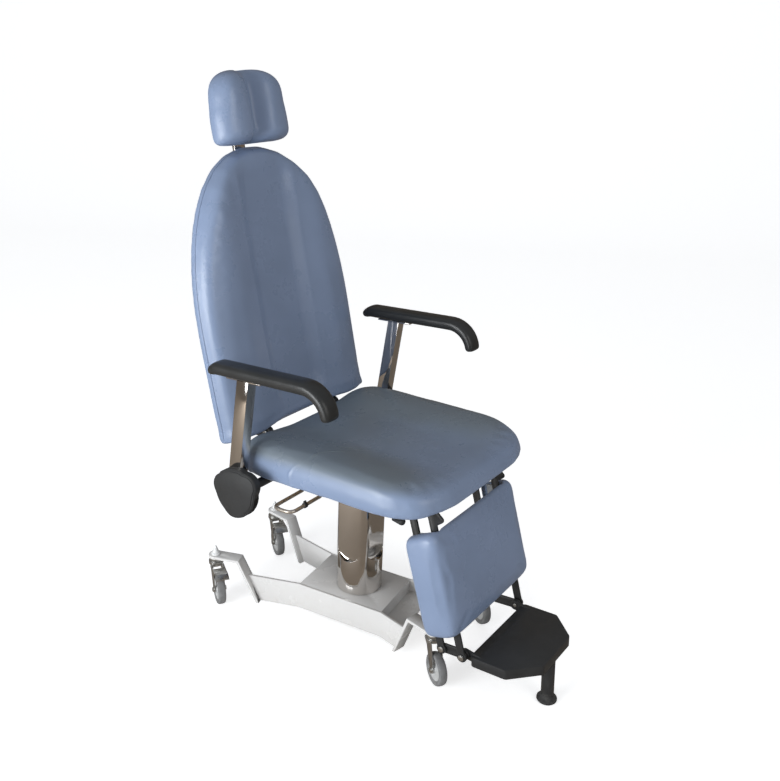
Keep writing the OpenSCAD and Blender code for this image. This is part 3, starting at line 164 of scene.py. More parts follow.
def make_sheen_drift():
    tree, start, end = shader_group(
        "sheen_drift",
        [("Low", "NodeSocketFloat", 0.3), ("High", "NodeSocketFloat", 0.5),
         ("Scale", "NodeSocketFloat", 6.0)],
        [("Value", "NodeSocketFloat")])
    cloud = noise_in(tree, start.outputs["Scale"], 5.0, 0.65)
    sheen = range_of(tree, cloud, 0.3, 0.7, start.outputs["Low"], start.outputs["High"])
    link(tree, sheen, end.inputs["Value"])
    return tree


def make_hide_grain():
    """Embossed grain of vinyl: soft pebbles with finer creases between them."""
    tree, start, end = shader_group(
        "hide_grain", [("Scale", "NodeSocketFloat", 600.0)], [("Height", "NodeSocketFloat")])
    cells = tree.nodes.new("ShaderNodeTexVoronoi")
    cells.feature = "SMOOTH_F1"
    cells.inputs["Smoothness"].default_value = 0.55
    cells.inputs["Randomness"].default_value = 0.9
    link(tree, tree.nodes.new("ShaderNodeTexCoord").outputs["Object"], cells.inputs["Vector"])
    link(tree, start.outputs["Scale"], cells.inputs["Scale"])
    pebble = range_of(tree, cells.outputs["Distance"], 0.1, 0.75, 1.0, 0.0)
    broad = noise_in(tree, 26.0, 3.0)
    grain = maths(tree, "MULTIPLY", pebble, 0.55)
    waves = maths(tree, "MULTIPLY", broad, 0.12)
    link(tree, maths(tree, "ADD", grain, waves), end.inputs["Height"])
    return tree


def make_coat_peel():
    """Very slight waviness of a sprayed or moulded surface."""
    tree, start, end = shader_group(
        "coat_peel", [("Scale", "NodeSocketFloat", 160.0)], [("Height", "NodeSocketFloat")])
    link(tree, noise_in(tree, start.outputs["Scale"], 2.0, 0.4), end.inputs["Height"])
    return tree


def make_low_scuffs():
    """Dust and scuffs that gather near the floor: clean colour above, soiled colour below."""
    tree, start, end = shader_group(
        "low_scuffs",
        [("Clean", "NodeSocketColor", (1, 1, 1, 1)), ("Soiled", "NodeSocketColor", (0.3, 0.28, 0.25, 1)),
         ("Reach", "NodeSocketFloat", 0.16), ("Amount", "NodeSocketFloat", 0.5)],
        [("Color", "NodeSocketColor")])
    split = tree.nodes.new("ShaderNodeSeparateXYZ")
    link(tree, tree.nodes.new("ShaderNodeTexCoord").outputs["Object"], split.inputs["Vector"])
    low = range_of(tree, split.outputs["Z"], 0.0, start.outputs["Reach"], 1.0, 0.0)
    patch = range_of(tree, noise_in(tree, 38.0, 6.0, 0.7), 0.42, 0.72)
    mask = maths(tree, "MULTIPLY", maths(tree, "MULTIPLY", low, patch), start.outputs["Amount"])
    link(tree, colour_mix(tree, mask, start.outputs["Clean"], start.outputs["Soiled"]), end.inputs["Color"])
    return tree


def make_plywood_grain():
    tree, start, end = shader_group(
        "plywood_grain",
        [("Pale", "NodeSocketColor", (0.6, 0.45, 0.28, 1)),
         ("Ring", "NodeSocketColor", (0.4, 0.27, 0.15, 1))],
        [("Color", "NodeSocketColor"), ("Height", "NodeSocketFloat")])
    rings = noise_in(tree, 9.0, 5.0, 0.6, stretch=(6.0, 0.7, 0.7))
    fibres = noise_in(tree, 60.0, 4.0, 0.6, stretch=(8.0, 0.5, 0.5))
    tone = maths(tree, "ADD", maths(tree, "MULTIPLY", rings, 0.7), maths(tree, "MULTIPLY", fibres, 0.3))
    share = range_of(tree, tone, 0.36, 0.62)
    link(tree, colour_mix(tree, share, start.outputs["Ring"], start.outputs["Pale"]), end.inputs["Color"])
    link(tree, fibres, end.inputs["Height"])
    return tree


COLOUR_DRIFT = make_colour_drift()
SHEEN_DRIFT = make_sheen_drift()
HIDE_GRAIN = make_hide_grain()
COAT_PEEL = make_coat_peel()
LOW_SCUFFS = make_low_scuffs()
PLYWOOD_GRAIN = make_plywood_grain()


def placed(tree, group, **values):
    node = tree.nodes.new("ShaderNodeGroup")
    node.node_tree = group
    for label, value in values.items():
        node.inputs[label.replace("_", " ")].default_value = value
    return node


def rgba(colour, share=1.0):
    return (colour[0] * share, colour[1] * share, colour[2] * share, 1.0)


def finish_of(name, light, dark, drift, sheen, sheen_scale, height, height_scale, depth,
              metallic=0.0, coat=0.0, soiled=None, soil_amount=0.4, soil_reach=0.16):
    """A finish with drifting colour and sheen over a grained or slightly wavy surface."""
    material = bpy.data.materials.new(name)
    material.use_nodes = True
    tree = material.node_tree
    shader = tree.nodes["Principled BSDF"]
    shader.inputs["Metallic"].default_value = metallic
    shader.inputs["Coat Weight"].default_value = coat
    shader.inputs["Coat Roughness"].default_value = 0.12
    tone = placed(tree, COLOUR_DRIFT, Light=rgba(light), Dark=rgba(dark), Scale=drift).outputs["Color"]
    if soiled:
        scuffs = placed(tree, LOW_SCUFFS, Soiled=rgba(soiled), Reach=soil_reach, Amount=soil_amount)
        link(tree, tone, scuffs.inputs["Clean"])
        tone = scuffs.outputs["Color"]
    link(tree, tone, shader.inputs["Base Color"])
    link(tree, placed(tree, SHEEN_DRIFT, Low=sheen[0], High=sheen[1], Scale=sheen_scale).outputs["Value"],
         shader.inputs["Roughness"])
    bump = tree.nodes.new("ShaderNodeBump")
    bump.inputs["Distance"].default_value = depth
    bump.inputs["Strength"].default_value = 0.6
    link(tree, placed(tree, height, Scale=height_scale).outputs["Height"], bump.inputs["Height"])
    link(tree, bump.outputs["Normal"], shader.inputs["Normal"])
    return material


def plywood_finish():
    material = bpy.data.materials.new("bare_plywood")
    material.use_nodes = True
    tree = material.node_tree
    shader = tree.nodes["Principled BSDF"]
    grain = placed(tree, PLYWOOD_GRAIN)
    link(tree, grain.outputs["Color"], shader.inputs["Base Color"])
    sheen = placed(tree, SHEEN_DRIFT, Low=0.5, High=0.7, Scale=9.0)
    link(tree, sheen.outputs["Value"], shader.inputs["Roughness"])
    bump = tree.nodes.new("ShaderNodeBump")
    bump.inputs["Distance"].default_value = 0.0003
    link(tree, grain.outputs["Height"], bump.inputs["Height"])
    link(tree, bump.outputs["Normal"], shader.inputs["Normal"])
    return material


VINYL = finish_of("blue_grey_vinyl", (0.255, 0.325, 0.475), (0.225, 0.290, 0.425), 4.0,
                  (0.24, 0.34), 7.0, HIDE_GRAIN, 900.0, 0.00022)
# The seat's own copy of the vinyl, which gets painted shade on its top further down
SEAT_VINYL = finish_of("seat_vinyl", (0.255, 0.325, 0.470), (0.225, 0.290, 0.425), 4.0,
                       (0.24, 0.34), 7.0, HIDE_GRAIN, 900.0, 0.00022)
PAD_SKIN = finish_of("charcoal_pad_skin", (0.026, 0.027, 0.027), (0.020, 0.021, 0.021), 9.0,
                     (0.30, 0.38), 14.0, COAT_PEEL, 420.0, 0.0002)
# Polished chrome; its slight warm tint is painted reflection of a brown room, the rest is the metal's own
# colour
CHROME = finish_of("polished_chrome", (0.74, 0.71, 0.68), (0.68, 0.65, 0.62), 5.0,
                   (0.05, 0.11), 18.0, COAT_PEEL, 30.0, 0.00015, metallic=1.0)
WHITE_COAT = finish_of("white_powder_coat", (0.79, 0.775, 0.755), (0.75, 0.735, 0.715), 3.0,
                       (0.20, 0.30), 9.0, COAT_PEEL, 240.0, 0.00012, coat=0.35,
                       soiled=(0.62, 0.57, 0.50), soil_amount=0.22, soil_reach=0.10)
WHITE_CAP = finish_of("white_cap_plastic", (0.82, 0.82, 0.81), (0.78, 0.78, 0.77), 20.0,
                      (0.22, 0.30), 20.0, COAT_PEEL, 300.0, 0.0001, coat=0.2)
ZINC = finish_of("zinc_plate", (0.66, 0.66, 0.64), (0.50, 0.50, 0.49), 45.0,
                 (0.26, 0.42), 60.0, COAT_PEEL, 500.0, 0.0001, metallic=1.0,
                 soiled=(0.25, 0.23, 0.21), soil_amount=0.5, soil_reach=0.14)
LOOP_STEEL = finish_of("nickelled_rod", (0.62, 0.56, 0.49), (0.50, 0.45, 0.39), 22.0,
                       (0.22, 0.34), 30.0, COAT_PEEL, 300.0, 0.0001, metallic=0.75)
GREY_STEEL = finish_of("grey_paint", (0.31, 0.32, 0.33), (0.27, 0.28, 0.29), 5.0,
                       (0.38, 0.50), 12.0, COAT_PEEL, 260.0, 0.0002)
NYLON = finish_of("natural_nylon", (0.86, 0.84, 0.76), (0.80, 0.77, 0.68), 12.0,
                  (0.40, 0.52), 14.0, COAT_PEEL, 200.0, 0.0002)
BLACK_COAT = finish_of("satin_black_coat", (0.034, 0.035, 0.036), (0.024, 0.025, 0.026), 6.0,
                       (0.32, 0.46), 22.0, COAT_PEEL, 300.0, 0.0002,
                       soiled=(0.14, 0.13, 0.12), soil_amount=0.35, soil_reach=0.14)
BLACK_PLASTIC = finish_of("black_moulding", (0.026, 0.027, 0.028), (0.020, 0.021, 0.022), 12.0,
                          (0.48, 0.60), 26.0, COAT_PEEL, 900.0, 0.00025)
RUBBER = finish_of("matt_rubber", (0.034, 0.034, 0.034), (0.022, 0.022, 0.022), 30.0,
                   (0.70, 0.86), 30.0, COAT_PEEL, 700.0, 0.0003,
                   soiled=(0.20, 0.19, 0.17), soil_amount=0.5, soil_reach=0.03)
HUB_PLASTIC = finish_of("grey_hub_moulding", (0.56, 0.56, 0.55), (0.48, 0.48, 0.47), 30.0,
                        (0.36, 0.48), 30.0, COAT_PEEL, 400.0, 0.0002)
TYRE = finish_of("grey_tread", (0.235, 0.235, 0.235), (0.18, 0.18, 0.18), 40.0,
                 (0.55, 0.72), 34.0, COAT_PEEL, 600.0, 0.0003,
                 soiled=(0.40, 0.38, 0.35), soil_amount=0.45, soil_reach=0.07)
PLYWOOD = plywood_finish()


def paint_seat_top_shade(material, painted_shade, low, high):
    """The seat's flat top is painted greyer and darker than its sides: painted shade for a top that the low
    side light leaves dim.
    """
    tree = material.node_tree
    shader = tree.nodes["Principled BSDF"]
    clean = shader.inputs["Base Color"].links[0].from_socket
    split = tree.nodes.new("ShaderNodeSeparateXYZ")
    link(tree, tree.nodes.new("ShaderNodeTexCoord").outputs["Object"], split.inputs["Vector"])
    tilt = maths(tree, "MULTIPLY", split.outputs["Y"], math.sin(SEAT_RAKE))
    raised = maths(tree, "ADD", split.outputs["Z"], tilt)
    uneven = maths(tree, "MULTIPLY", noise_in(tree, 7.0, 3.0), 0.012)
    mask = range_of(tree, maths(tree, "ADD", raised, uneven), low, high, 0.0, 0.85)
    link(tree, colour_mix(tree, mask, clean, rgba(painted_shade)), shader.inputs["Base Color"])


# Painted shade: the seat's top made darker and greyer than its sides
paint_seat_top_shade(SEAT_VINYL, (0.175, 0.205, 0.222), 0.558, 0.590)

FINISH = {
    "vinyl": VINYL, "pad_foam": PAD_SKIN, "chrome_steel": CHROME, "white_coat": WHITE_COAT,
    "white_cap": WHITE_CAP, "zinc_steel": ZINC, "grey_steel": GREY_STEEL, "bush_plastic": NYLON,
    "black_coat": BLACK_COAT, "black_plastic": BLACK_PLASTIC, "black_rubber": RUBBER,
    "hub_plastic": HUB_PLASTIC, "grey_tyre": TYRE, "board_wood": PLYWOOD,
}


# Making pieces


def coated(mesh, material):
    mesh.materials.clear()
    mesh.materials.append(material)


def linked_piece(name, mesh, material):
    piece = bpy.data.objects.new(name, mesh)
    bpy.context.scene.collection.objects.link(piece)
    coated(mesh, material)
    return piece


def merged_copy(node):
    """A bmesh of a CAD node with its loose triangles joined."""
    shape = bmesh.new()
    shape.from_mesh(nodes[node].data)
    bmesh.ops.remove_doubles(shape, verts=shape.verts, dist=1e-6)
    return shape


def mesh_from(shape, name):
    mesh = bpy.data.meshes.new(name)
    shape.to_mesh(mesh)
    shape.free()
    return mesh


def baked(piece):
    """The piece's mesh with its modifiers applied, as a new mesh."""
    bpy.context.view_layer.update()
    graph = bpy.context.evaluated_depsgraph_get()
    return bpy.data.meshes.new_from_object(piece.evaluated_get(graph), depsgraph=graph)


def smooth_with_edges(mesh, angle):
    for face in mesh.polygons:
        face.use_smooth = True
    mesh.set_sharp_from_angle(angle=math.radians(angle))


def vertex_array(mesh):
    places = np.zeros(len(mesh.vertices) * 3)
    mesh.vertices.foreach_get("co", places)
    return places.reshape(-1, 3)


def set_vertices(mesh, places):
    mesh.vertices.foreach_set("co", places.ravel())
    mesh.update()


def normal_array(mesh):
    normals = np.zeros(len(mesh.vertices) * 3)
    mesh.vertices.foreach_get("normal", normals)
    return normals.reshape(-1, 3)


def rides_as(piece, node):
    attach(piece, BODY_OF[node])


FLAT_ANGLE = 1.2
EDGE_ANGLE = 34
ROUNDED_ANGLE = 50


def edged_piece(node, edge):
    """A CAD node with its triangles merged into clean faces and its edges rounded off."""
    shape = merged_copy(node)
    bmesh.ops.dissolve_limit(shape, angle_limit=math.radians(FLAT_ANGLE),
                             verts=shape.verts, edges=shape.edges)
    mesh = mesh_from(shape, node + "_finish")
    piece = linked_piece(node + "_finish", mesh, FINISH[SLOT_OF[node]])
    smooth_with_edges(mesh, EDGE_ANGLE)
    rounding = piece.modifiers.new("edges", "BEVEL")
    rounding.width = edge * MM
    rounding.segments = 2
    rounding.limit_method = "ANGLE"
    rounding.angle_limit = math.radians(EDGE_ANGLE)
    rounding.use_clamp_overlap = True
    rounding.harden_normals = False
    piece.data = baked(piece)
    piece.modifiers.clear()
    smooth_with_edges(piece.data, ROUNDED_ANGLE)
    rides_as(piece, node)
    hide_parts(node)


# How far each node's edges are rounded off, in millimetres
EDGES = {
    "side_member_left": 1.2, "side_member_right": 1.2, "deck": 1.0, "cap_nuts": 0.8, "castor_stems": 0.5,
    "column_shroud": 0.5, "head_plate": 1.5, "seat_frame": 0.8, "leg_pivot_pins": 0.6, "back_hinge_pins": 0.6,
    "arm_post_left": 2.2, "arm_post_right": 2.2, "pivot_cover_left": 1.2, "pivot_cover_right": 1.2,
    "back_frame": 0.8, "headrest_guide": 0.8, "clamp_knob": 1.2, "headrest_bar": 1.0, "headrest_bracket": 0.8,
    "front_leg_bars": 0.9, "rear_leg_bars": 0.9, "link_plates": 0.9, "link_pins": 0.6, "footplate": 1.4,
    "foot_post": 0.8, "rubber_foot": 0.8, "loop_clip": 0.5, "leg_release_lever": 0.6, "calf_pan": 0.8,
    "seat_board": 0.8, "back_board": 0.8, "headrest_board": 0.6,
    "brake_pedal_left": 0.4, "brake_pedal_right": 0.4,
}
for corner in ("rear_left", "rear_right", "front_left", "front_right"):
    EDGES["fork_" + corner] = 0.5
    EDGES["hub_" + corner] = 0.8
    EDGES["tyre_" + corner] = 0.8
for node, edge in EDGES.items():
    edged_piece(node, edge)
for node in ("column_guide", "guide_bushes", "lift_cylinder", "riser_tube", "lift_rod", "arm_pins"):
    coated(nodes[node].data, FINISH[SLOT_OF[node]])


SHORT_EDGE = 7
RIM_SHARE = 0.40
RIM_STEPS = 73
RIM_WINDOW = 0.12
STILL_SHARE, GIVING_SHARE = 0.50, 0.35


def split_long_edges(mesh):
    """Gives the straight flanks of a flat cover the points that they need to bend."""
    shape = bmesh.new()
    shape.from_mesh(mesh)
    for _ in range(3):
        straight = [edge for edge in shape.edges if edge.calc_length() > SHORT_EDGE * MM]
        bmesh.ops.subdivide_edges(shape, edges=straight, cuts=1, use_grid_fill=True)
    shape.to_mesh(mesh)
    shape.free()


def round_off(name, share):
    """Draws a flat cover's outline, seen along X, towards a circle and leaves its middle alone."""
    mesh = bpy.data.objects[name].data
    split_long_edges(mesh)
    places = vertex_array(mesh)
    flat = places[:, 1:]
    middle = (flat.min(0) + flat.max(0)) / 2
    out = flat - middle
    far = np.hypot(out[:, 0], out[:, 1])
    angle = np.arctan2(out[:, 1], out[:, 0])
    rim = far > RIM_SHARE * far.max()
    steps = np.linspace(-math.pi, math.pi, RIM_STEPS)
    turned = [np.abs((angle[rim] - step + math.pi) % math.tau - math.pi) < RIM_WINDOW for step in steps]
    reach = np.array([far[rim][near].max(initial=0.0) for near in turned])
    reach[reach == 0.0] = reach[reach > 0.0].mean()
    edge = np.interp(angle, steps, reach)
    wanted = edge + share * (reach.mean() - edge)
    weight = np.clip((far / edge - STILL_SHARE) / GIVING_SHARE, 0.0, 1.0)
    places[:, 1:] = middle + out * (1.0 + weight * (wanted / edge - 1.0))[:, None]
    set_vertices(mesh, places)


for side in ("left", "right"):
    round_off("pivot_cover_" + side + "_finish", 0.60)


# Bent rod and screws


def rounded_route(points, radius, steps=8):
    """A route through points, in millimetres, with its inner corners rounded to a radius."""
    points = [Vector(p) for p in points]
    route = [points[0]]
    for before, corner, after in zip(points, points[1:], points[2:]):
        into, out = (corner - before).normalized(), (after - corner).normalized()
        turn = into.angle(out)
        if turn < 0.02:
            route.append(corner)
            continue
        longest = 0.49 * min((corner - before).length, (after - corner).length)
        reach = min(radius * math.tan(turn / 2), longest)
        start, end = corner - into * reach, corner + out * reach
        for i in range(steps + 1):
            t = i / steps
            route.append(start * (1 - t) ** 2 + corner * 2 * t * (1 - t) + end * t * t)
    route.append(points[-1])
    return route


def rod_piece(name, matrix, route, radius, material):
    """A round rod along a route, with closed ends."""
    line = bpy.data.curves.new(name, "CURVE")
    line.dimensions = "3D"
    line.bevel_depth = radius * MM
    line.bevel_resolution = 5
    line.use_fill_caps = True
    spline = line.splines.new("POLY")
    spline.points.add(len(route) - 1)
    for point, place in zip(spline.points, route):
        point.co = (*at(matrix, *place), 1.0)
    holder = bpy.data.objects.new(name, line)
    bpy.context.scene.collection.objects.link(holder)
    mesh = baked(holder)
    bpy.data.objects.remove(holder)
    bpy.data.curves.remove(line)
    mesh.name = name
    shape = bmesh.new()
    shape.from_mesh(mesh)
    bmesh.ops.remove_doubles(shape, verts=shape.verts, dist=1e-6)
    bmesh.ops.recalc_face_normals(shape, faces=shape.faces)
    shape.to_mesh(mesh)
    shape.free()
    smooth_with_edges(mesh, 50)
    return linked_piece(name, mesh, material)


def turned_shape(profile, steps=24):
    """A shape turned about its own Z axis from (radius, height) points in millimetres."""
    shape = bmesh.new()
    verts = [shape.verts.new((r * MM, 0.0, z * MM)) for r, z in profile]
    edges = [shape.edges.new(pair) for pair in zip(verts, verts[1:])]
    bmesh.ops.spin(shape, geom=verts + edges, cent=(0, 0, 0), axis=(0, 0, 1), dvec=(0, 0, 0),
                   angle=math.tau, steps=steps, use_merge=True, use_duplicate=False)
    bmesh.ops.remove_doubles(shape, verts=shape.verts, dist=1e-6)
    bmesh.ops.recalc_face_normals(shape, faces=shape.faces)
    return shape


def turned_set(name, matrix, profile, places, axis, material, body):
    """The same turned shape at several places, all along one axis of a frame, as one piece."""
    whole = bmesh.new()
    single = mesh_from(turned_shape(profile), "single")
    aim = Vector((0, 0, 1)).rotation_difference(Vector(axis)).to_matrix().to_4x4()
    for place in places:
        before = set(whole.verts)
        whole.from_mesh(single)
        fresh = [v for v in whole.verts if v not in before]
        bmesh.ops.transform(whole, matrix=matrix @ shifted(*place) @ aim, verts=fresh)
    bpy.data.meshes.remove(single)
    piece = linked_piece(name, mesh_from(whole, name), material)
    smooth_with_edges(piece.data, 40)
    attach(piece, body)
    return piece


# Button head with a round drive recess, its seat at height 0
BUTTON_HEAD = [(0, 1.4), (2.2, 1.4), (2.4, 3.0), (3.6, 2.9), (4.9, 2.1), (5.6, 0.9), (5.8, 0.0), (0, 0.0)]

# The release loop, in the seat's frame: a leg down from the axle, out to the grip and back
LOOP_ROOT_X, LOOP_BEND_X, LOOP_GRIP_X = -153, -177, -291
LOOP_FRONT_Y, LOOP_REAR_Y = -34, 26
LOOP_ROOT_Z, LOOP_GRIP_Z = 462, 445
LOOP_BEND, LOOP_RADIUS = 22, 4.8
AXLE_OVERHANG, AXLE_RADIUS = 13, 4.0
loop_legs = [[(LOOP_ROOT_X, y, LOOP_ROOT_Z), (LOOP_BEND_X, y, LOOP_GRIP_Z), (LOOP_GRIP_X, y, LOOP_GRIP_Z)]
             for y in (LOOP_FRONT_Y, LOOP_REAR_Y)]
loop_route = rounded_route(loop_legs[0] + loop_legs[1][::-1], LOOP_BEND)
loop_rod = rod_piece("release_loop_rod", SEAT_FRAME, loop_route, LOOP_RADIUS, LOOP_STEEL)
rides_as(loop_rod, "release_loop")
axle_ends = [Vector((LOOP_ROOT_X, y, LOOP_ROOT_Z))
             for y in (LOOP_FRONT_Y - AXLE_OVERHANG, LOOP_REAR_Y + AXLE_OVERHANG)]
loop_axle = rod_piece("release_loop_axle", SEAT_FRAME, axle_ends, AXLE_RADIUS, LOOP_STEEL)
rides_as(loop_axle, "release_loop")
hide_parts("release_loop")

# Two screws through each cross rail of the back frame, in the back's frame
BACK_LENGTH, RAIL_HALF, RAIL_FACE_Y = 713, 12.5, 50
RAIL_SHARES = (0.17, 0.40, 0.58)
SCREW_X = 70
screw_places = [(x, RAIL_FACE_Y, share * BACK_LENGTH + RAIL_HALF)
                for share in RAIL_SHARES for x in (-SCREW_X, SCREW_X)]
turned_set("back_board_screws", BACK_FRAME, BUTTON_HEAD, screw_places, (0, 1, 0), BLACK_COAT,
           "backrest")


# Upholstery


def local_places(matrix, places):
    """Places in metres in the row frame, as millimetres in one of the chair's own frames."""
    back = np.array(matrix.inverted())
    return (places @ back[:3, :3].T + back[:3, 3]) / MM


def world_places(matrix, places):
    forward = np.array(matrix)
    return places * MM @ forward[:3, :3].T + forward[:3, 3]


def eased(values, low, high):
    t = np.clip((values - low) / (high - low), 0.0, 1.0)
    return t * t * (3 - 2 * t)


IN_AND_OUT = (0.60, -0.62)
INWARDS = (0.5,)


def evened(mesh, rounds, shares=IN_AND_OUT):
    """Takes the fine unevenness out of a mesh; a step in undone by one out keeps its volume."""
    pairs = np.zeros(len(mesh.edges) * 2, dtype=int)
    mesh.edges.foreach_get("vertices", pairs)
    first, second = pairs.reshape(-1, 2).T
    count = np.bincount(np.concatenate([first, second]), minlength=len(mesh.vertices))[:, None]
    places = vertex_array(mesh)
    for _ in range(rounds):
        for share in shares:
            total = np.stack([np.bincount(first, places[second, k], len(places))
                              + np.bincount(second, places[first, k], len(places)) for k in range(3)], axis=1)
            places = places + share * (total / np.maximum(count, 1) - places)
    set_vertices(mesh, places)


# The plug that fills a board's pocket laps over it; the pocket is cut back with a little room
PLUG_SWELL = 1.2
BOARD_ROOM = 0.4


def foam_block(name, cushion, board, voxel):
    """The cushion's solid with its board's pocket filled in, remeshed evenly and smoothed."""
    shape = merged_copy(cushion)
    if board:
        filler = bmesh.new()
        filler.from_mesh(nodes[board].data)
        bmesh.ops.remove_doubles(filler, verts=filler.verts, dist=1e-6)
        for vert in filler.verts:
            vert.co += vert.normal * PLUG_SWELL * MM
        spare = mesh_from(filler, "filler")
        shape.from_mesh(spare)
        bpy.data.meshes.remove(spare)
    mesh = mesh_from(shape, name)
    piece = linked_piece(name, mesh, VINYL)
    even = piece.modifiers.new("even", "REMESH")
    even.mode = "VOXEL"
    even.voxel_size = voxel * MM
    piece.data = baked(piece)
    piece.modifiers.clear()
    evened(piece.data, 22)
    evened(piece.data, 6, INWARDS)
    coated(piece.data, VINYL)
    return piece


PRESSURE = 4.0
FRAMES = 20


def stuff(piece, matrix, hold, start_in, cap):
    """Swells a cover over its foam: cloth under pressure, held where hold gives 1, at most by cap."""
    mesh = piece.data
    target = vertex_array(mesh)
    slim = target - normal_array(mesh) * start_in * MM
    set_vertices(mesh, slim)
    held = np.clip(hold(local_places(matrix, slim)), 0.0, 1.0)
    group = piece.vertex_groups.new(name="held")
    for share in (0.25, 0.5, 0.75, 1.0):
        chosen = np.where((held > share - 0.25) & (held <= share))[0]
        group.add([int(i) for i in chosen], share, "REPLACE")
    cover = piece.modifiers.new("cover", "CLOTH")
    cover.settings.quality = 5
    cover.settings.mass = 0.3
    cover.settings.tension_stiffness = 15
    cover.settings.compression_stiffness = 15
    cover.settings.shear_stiffness = 5
    cover.settings.bending_stiffness = 4
    cover.settings.use_pressure = True
    cover.settings.uniform_pressure_force = PRESSURE
    cover.settings.effector_weights.gravity = 0
    cover.settings.vertex_group_mass = "held"
    cover.collision_settings.use_collision = False
    cover.collision_settings.use_self_collision = False
    for number in range(1, FRAMES + 1):
        bpy.context.scene.frame_set(number)
    swollen = baked(piece)
    moved = vertex_array(swollen) - slim
    bpy.data.meshes.remove(swollen)
    piece.modifiers.clear()
    piece.vertex_groups.clear()
    bpy.context.scene.frame_set(1)
    far = np.linalg.norm(moved, axis=1)
    share = np.minimum(1.0, cap * MM / np.maximum(far, 1e-9))
    set_vertices(mesh, slim + moved * share[:, None])
    evened(mesh, 6)
    evened(mesh, 2, INWARDS)
    finer = piece.modifiers.new("finer", "SUBSURF")
    finer.levels = finer.render_levels = 1
    piece.data = baked(piece)
    piece.modifiers.clear()
    coated(piece.data, VINYL)
    return piece


def smooth_line(points, spacing):
    """A rounded line through points, as closely spaced places."""
    points = [Vector(p) for p in points]
    out = []
    padded = [points[0] * 2 - points[1]] + points + [points[-1] * 2 - points[-2]]
    for a, b, c, d in zip(padded, padded[1:], padded[2:], padded[3:]):
        steps = max(2, int((c - b).length / spacing))
        for i in range(steps):
            t = i / steps
            out.append(0.5 * ((2 * b) + (c - a) * t + (2 * a - 5 * b + 4 * c - d) * t * t
                              + (3 * b - a - 3 * c + d) * t ** 3))
    out.append(points[-1])
    return np.array([list(p) for p in out])


def emboss(piece, matrix, line, height, width, fade_out):
    """Raises the cover along a line given in millimetres; fade_out is the share over which it ends."""
    mesh = piece.data
    places = vertex_array(mesh)
    local = local_places(matrix, places)
    line = smooth_line(line, 2.0)
    low, high = line.min(0) - 4 * width, line.max(0) + 4 * width
    near = np.where(((local > low) & (local < high)).all(1))[0]
    gap = np.linalg.norm(local[near][:, None, :] - line[None, :, :], axis=2)
    along = gap.argmin(1) / (len(line) - 1)
    strength = np.clip((1 - along) / fade_out, 0, 1)
    rise = height * MM * strength * np.exp(-(gap.min(1) / width) ** 2)
    places[near] += normal_array(mesh)[near] * rise[:, None]
    set_vertices(mesh, places)


def fill_corner(piece, matrix, axes, corner, reach, power):
    """Fills a rounded corner out towards a square one; reach runs from its centre to the corner."""
    local = local_places(matrix, vertex_array(piece.data))
    centre = [corner[0] - reach[0], corner[1] - reach[1]]
    a = (local[:, axes[0]] - centre[0]) / reach[0]
    b = (local[:, axes[1]] - centre[1]) / reach[1]
    inside = (a > 0) & (b > 0)
    a, b = np.where(inside, a, 0.0), np.where(inside, b, 0.0)
    squarer = np.maximum((a ** power + b ** power) ** (1 / power), 1e-6)
    grow = np.where(inside, np.hypot(a, b) / squarer, 1.0)
    local[:, axes[0]] = np.where(inside, centre[0] + a * grow * reach[0], local[:, axes[0]])
    local[:, axes[1]] = np.where(inside, centre[1] + b * grow * reach[1], local[:, axes[1]])
    set_vertices(piece.data, world_places(matrix, local))


def shape_front(piece, matrix, shift, front):
    """Moves the front of a pad along its own Y by shift(places), fading out to nothing at the back."""
    local = local_places(matrix, vertex_array(piece.data))
    local[:, 1] += shift(local) * (1.0 - eased(local[:, 1], *front))
    set_vertices(piece.data, world_places(matrix, local))


def side_loop(piece, matrix, level):
    """The line round a pad's side at one depth of the pad, as places in metres in the row frame."""
    shape = bmesh.new()
    shape.from_mesh(piece.data)
    cut = bmesh.ops.bisect_plane(shape, geom=shape.verts[:] + shape.edges[:] + shape.faces[:],
                                 plane_co=at(matrix, 0, level, 0),
                                 plane_no=matrix.to_3x3() @ Vector((0, 1, 0)))["geom_cut"]
    edges = {e: True for e in cut if isinstance(e, bmesh.types.BMEdge)}
    loops = []
    while edges:
        edge = next(iter(edges))
        del edges[edge]
        chain = [edge.verts[0], edge.verts[1]]
        while True:
            step = next((e for e in chain[-1].link_edges if e in edges), None)
            if step is None:
                break
            del edges[step]
            chain.append(step.other_vert(chain[-1]))
        loops.append([tuple(v.co) for v in chain])
    shape.free()
    return np.array(max(loops, key=len))


# The welt's run along the foot is lifted into the foam, clear of the seat frame when the back reclines
WELT_FOOT_LIFT = 9.0
WELT_FOOT_FROM, WELT_FOOT_TO = -6, 30


def welt(name, piece, matrix, level, radius, body):
    """A welt along the seam round a pad's side, laid on the surface at one depth of the pad."""
    loop = side_loop(piece, matrix, level)
    for _ in range(6):
        loop[:-1] = (loop[:-1] + np.roll(loop[:-1], 1, 0) + np.roll(loop[:-1], -1, 0)) / 3
    route = local_places(matrix, loop[:-1:2])
    route[:, 2] += WELT_FOOT_LIFT * (1.0 - eased(route[:, 2], WELT_FOOT_FROM, WELT_FOOT_TO))
    line = bpy.data.curves.new(name, "CURVE")
    line.dimensions = "3D"
    line.bevel_depth = radius * MM
    line.bevel_resolution = 3
    spline = line.splines.new("POLY")
    spline.points.add(len(route) - 1)
    for point, place in zip(spline.points, route):
        point.co = (*at(matrix, *place), 1.0)
    spline.use_cyclic_u = True
    holder = bpy.data.objects.new(name, line)
    bpy.context.scene.collection.objects.link(holder)
    mesh = baked(holder)
    bpy.data.objects.remove(holder)
    bpy.data.curves.remove(line)
    mesh.name = name
    smooth_with_edges(mesh, 60)
    seam = linked_piece(name, mesh, VINYL)
    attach(seam, body)


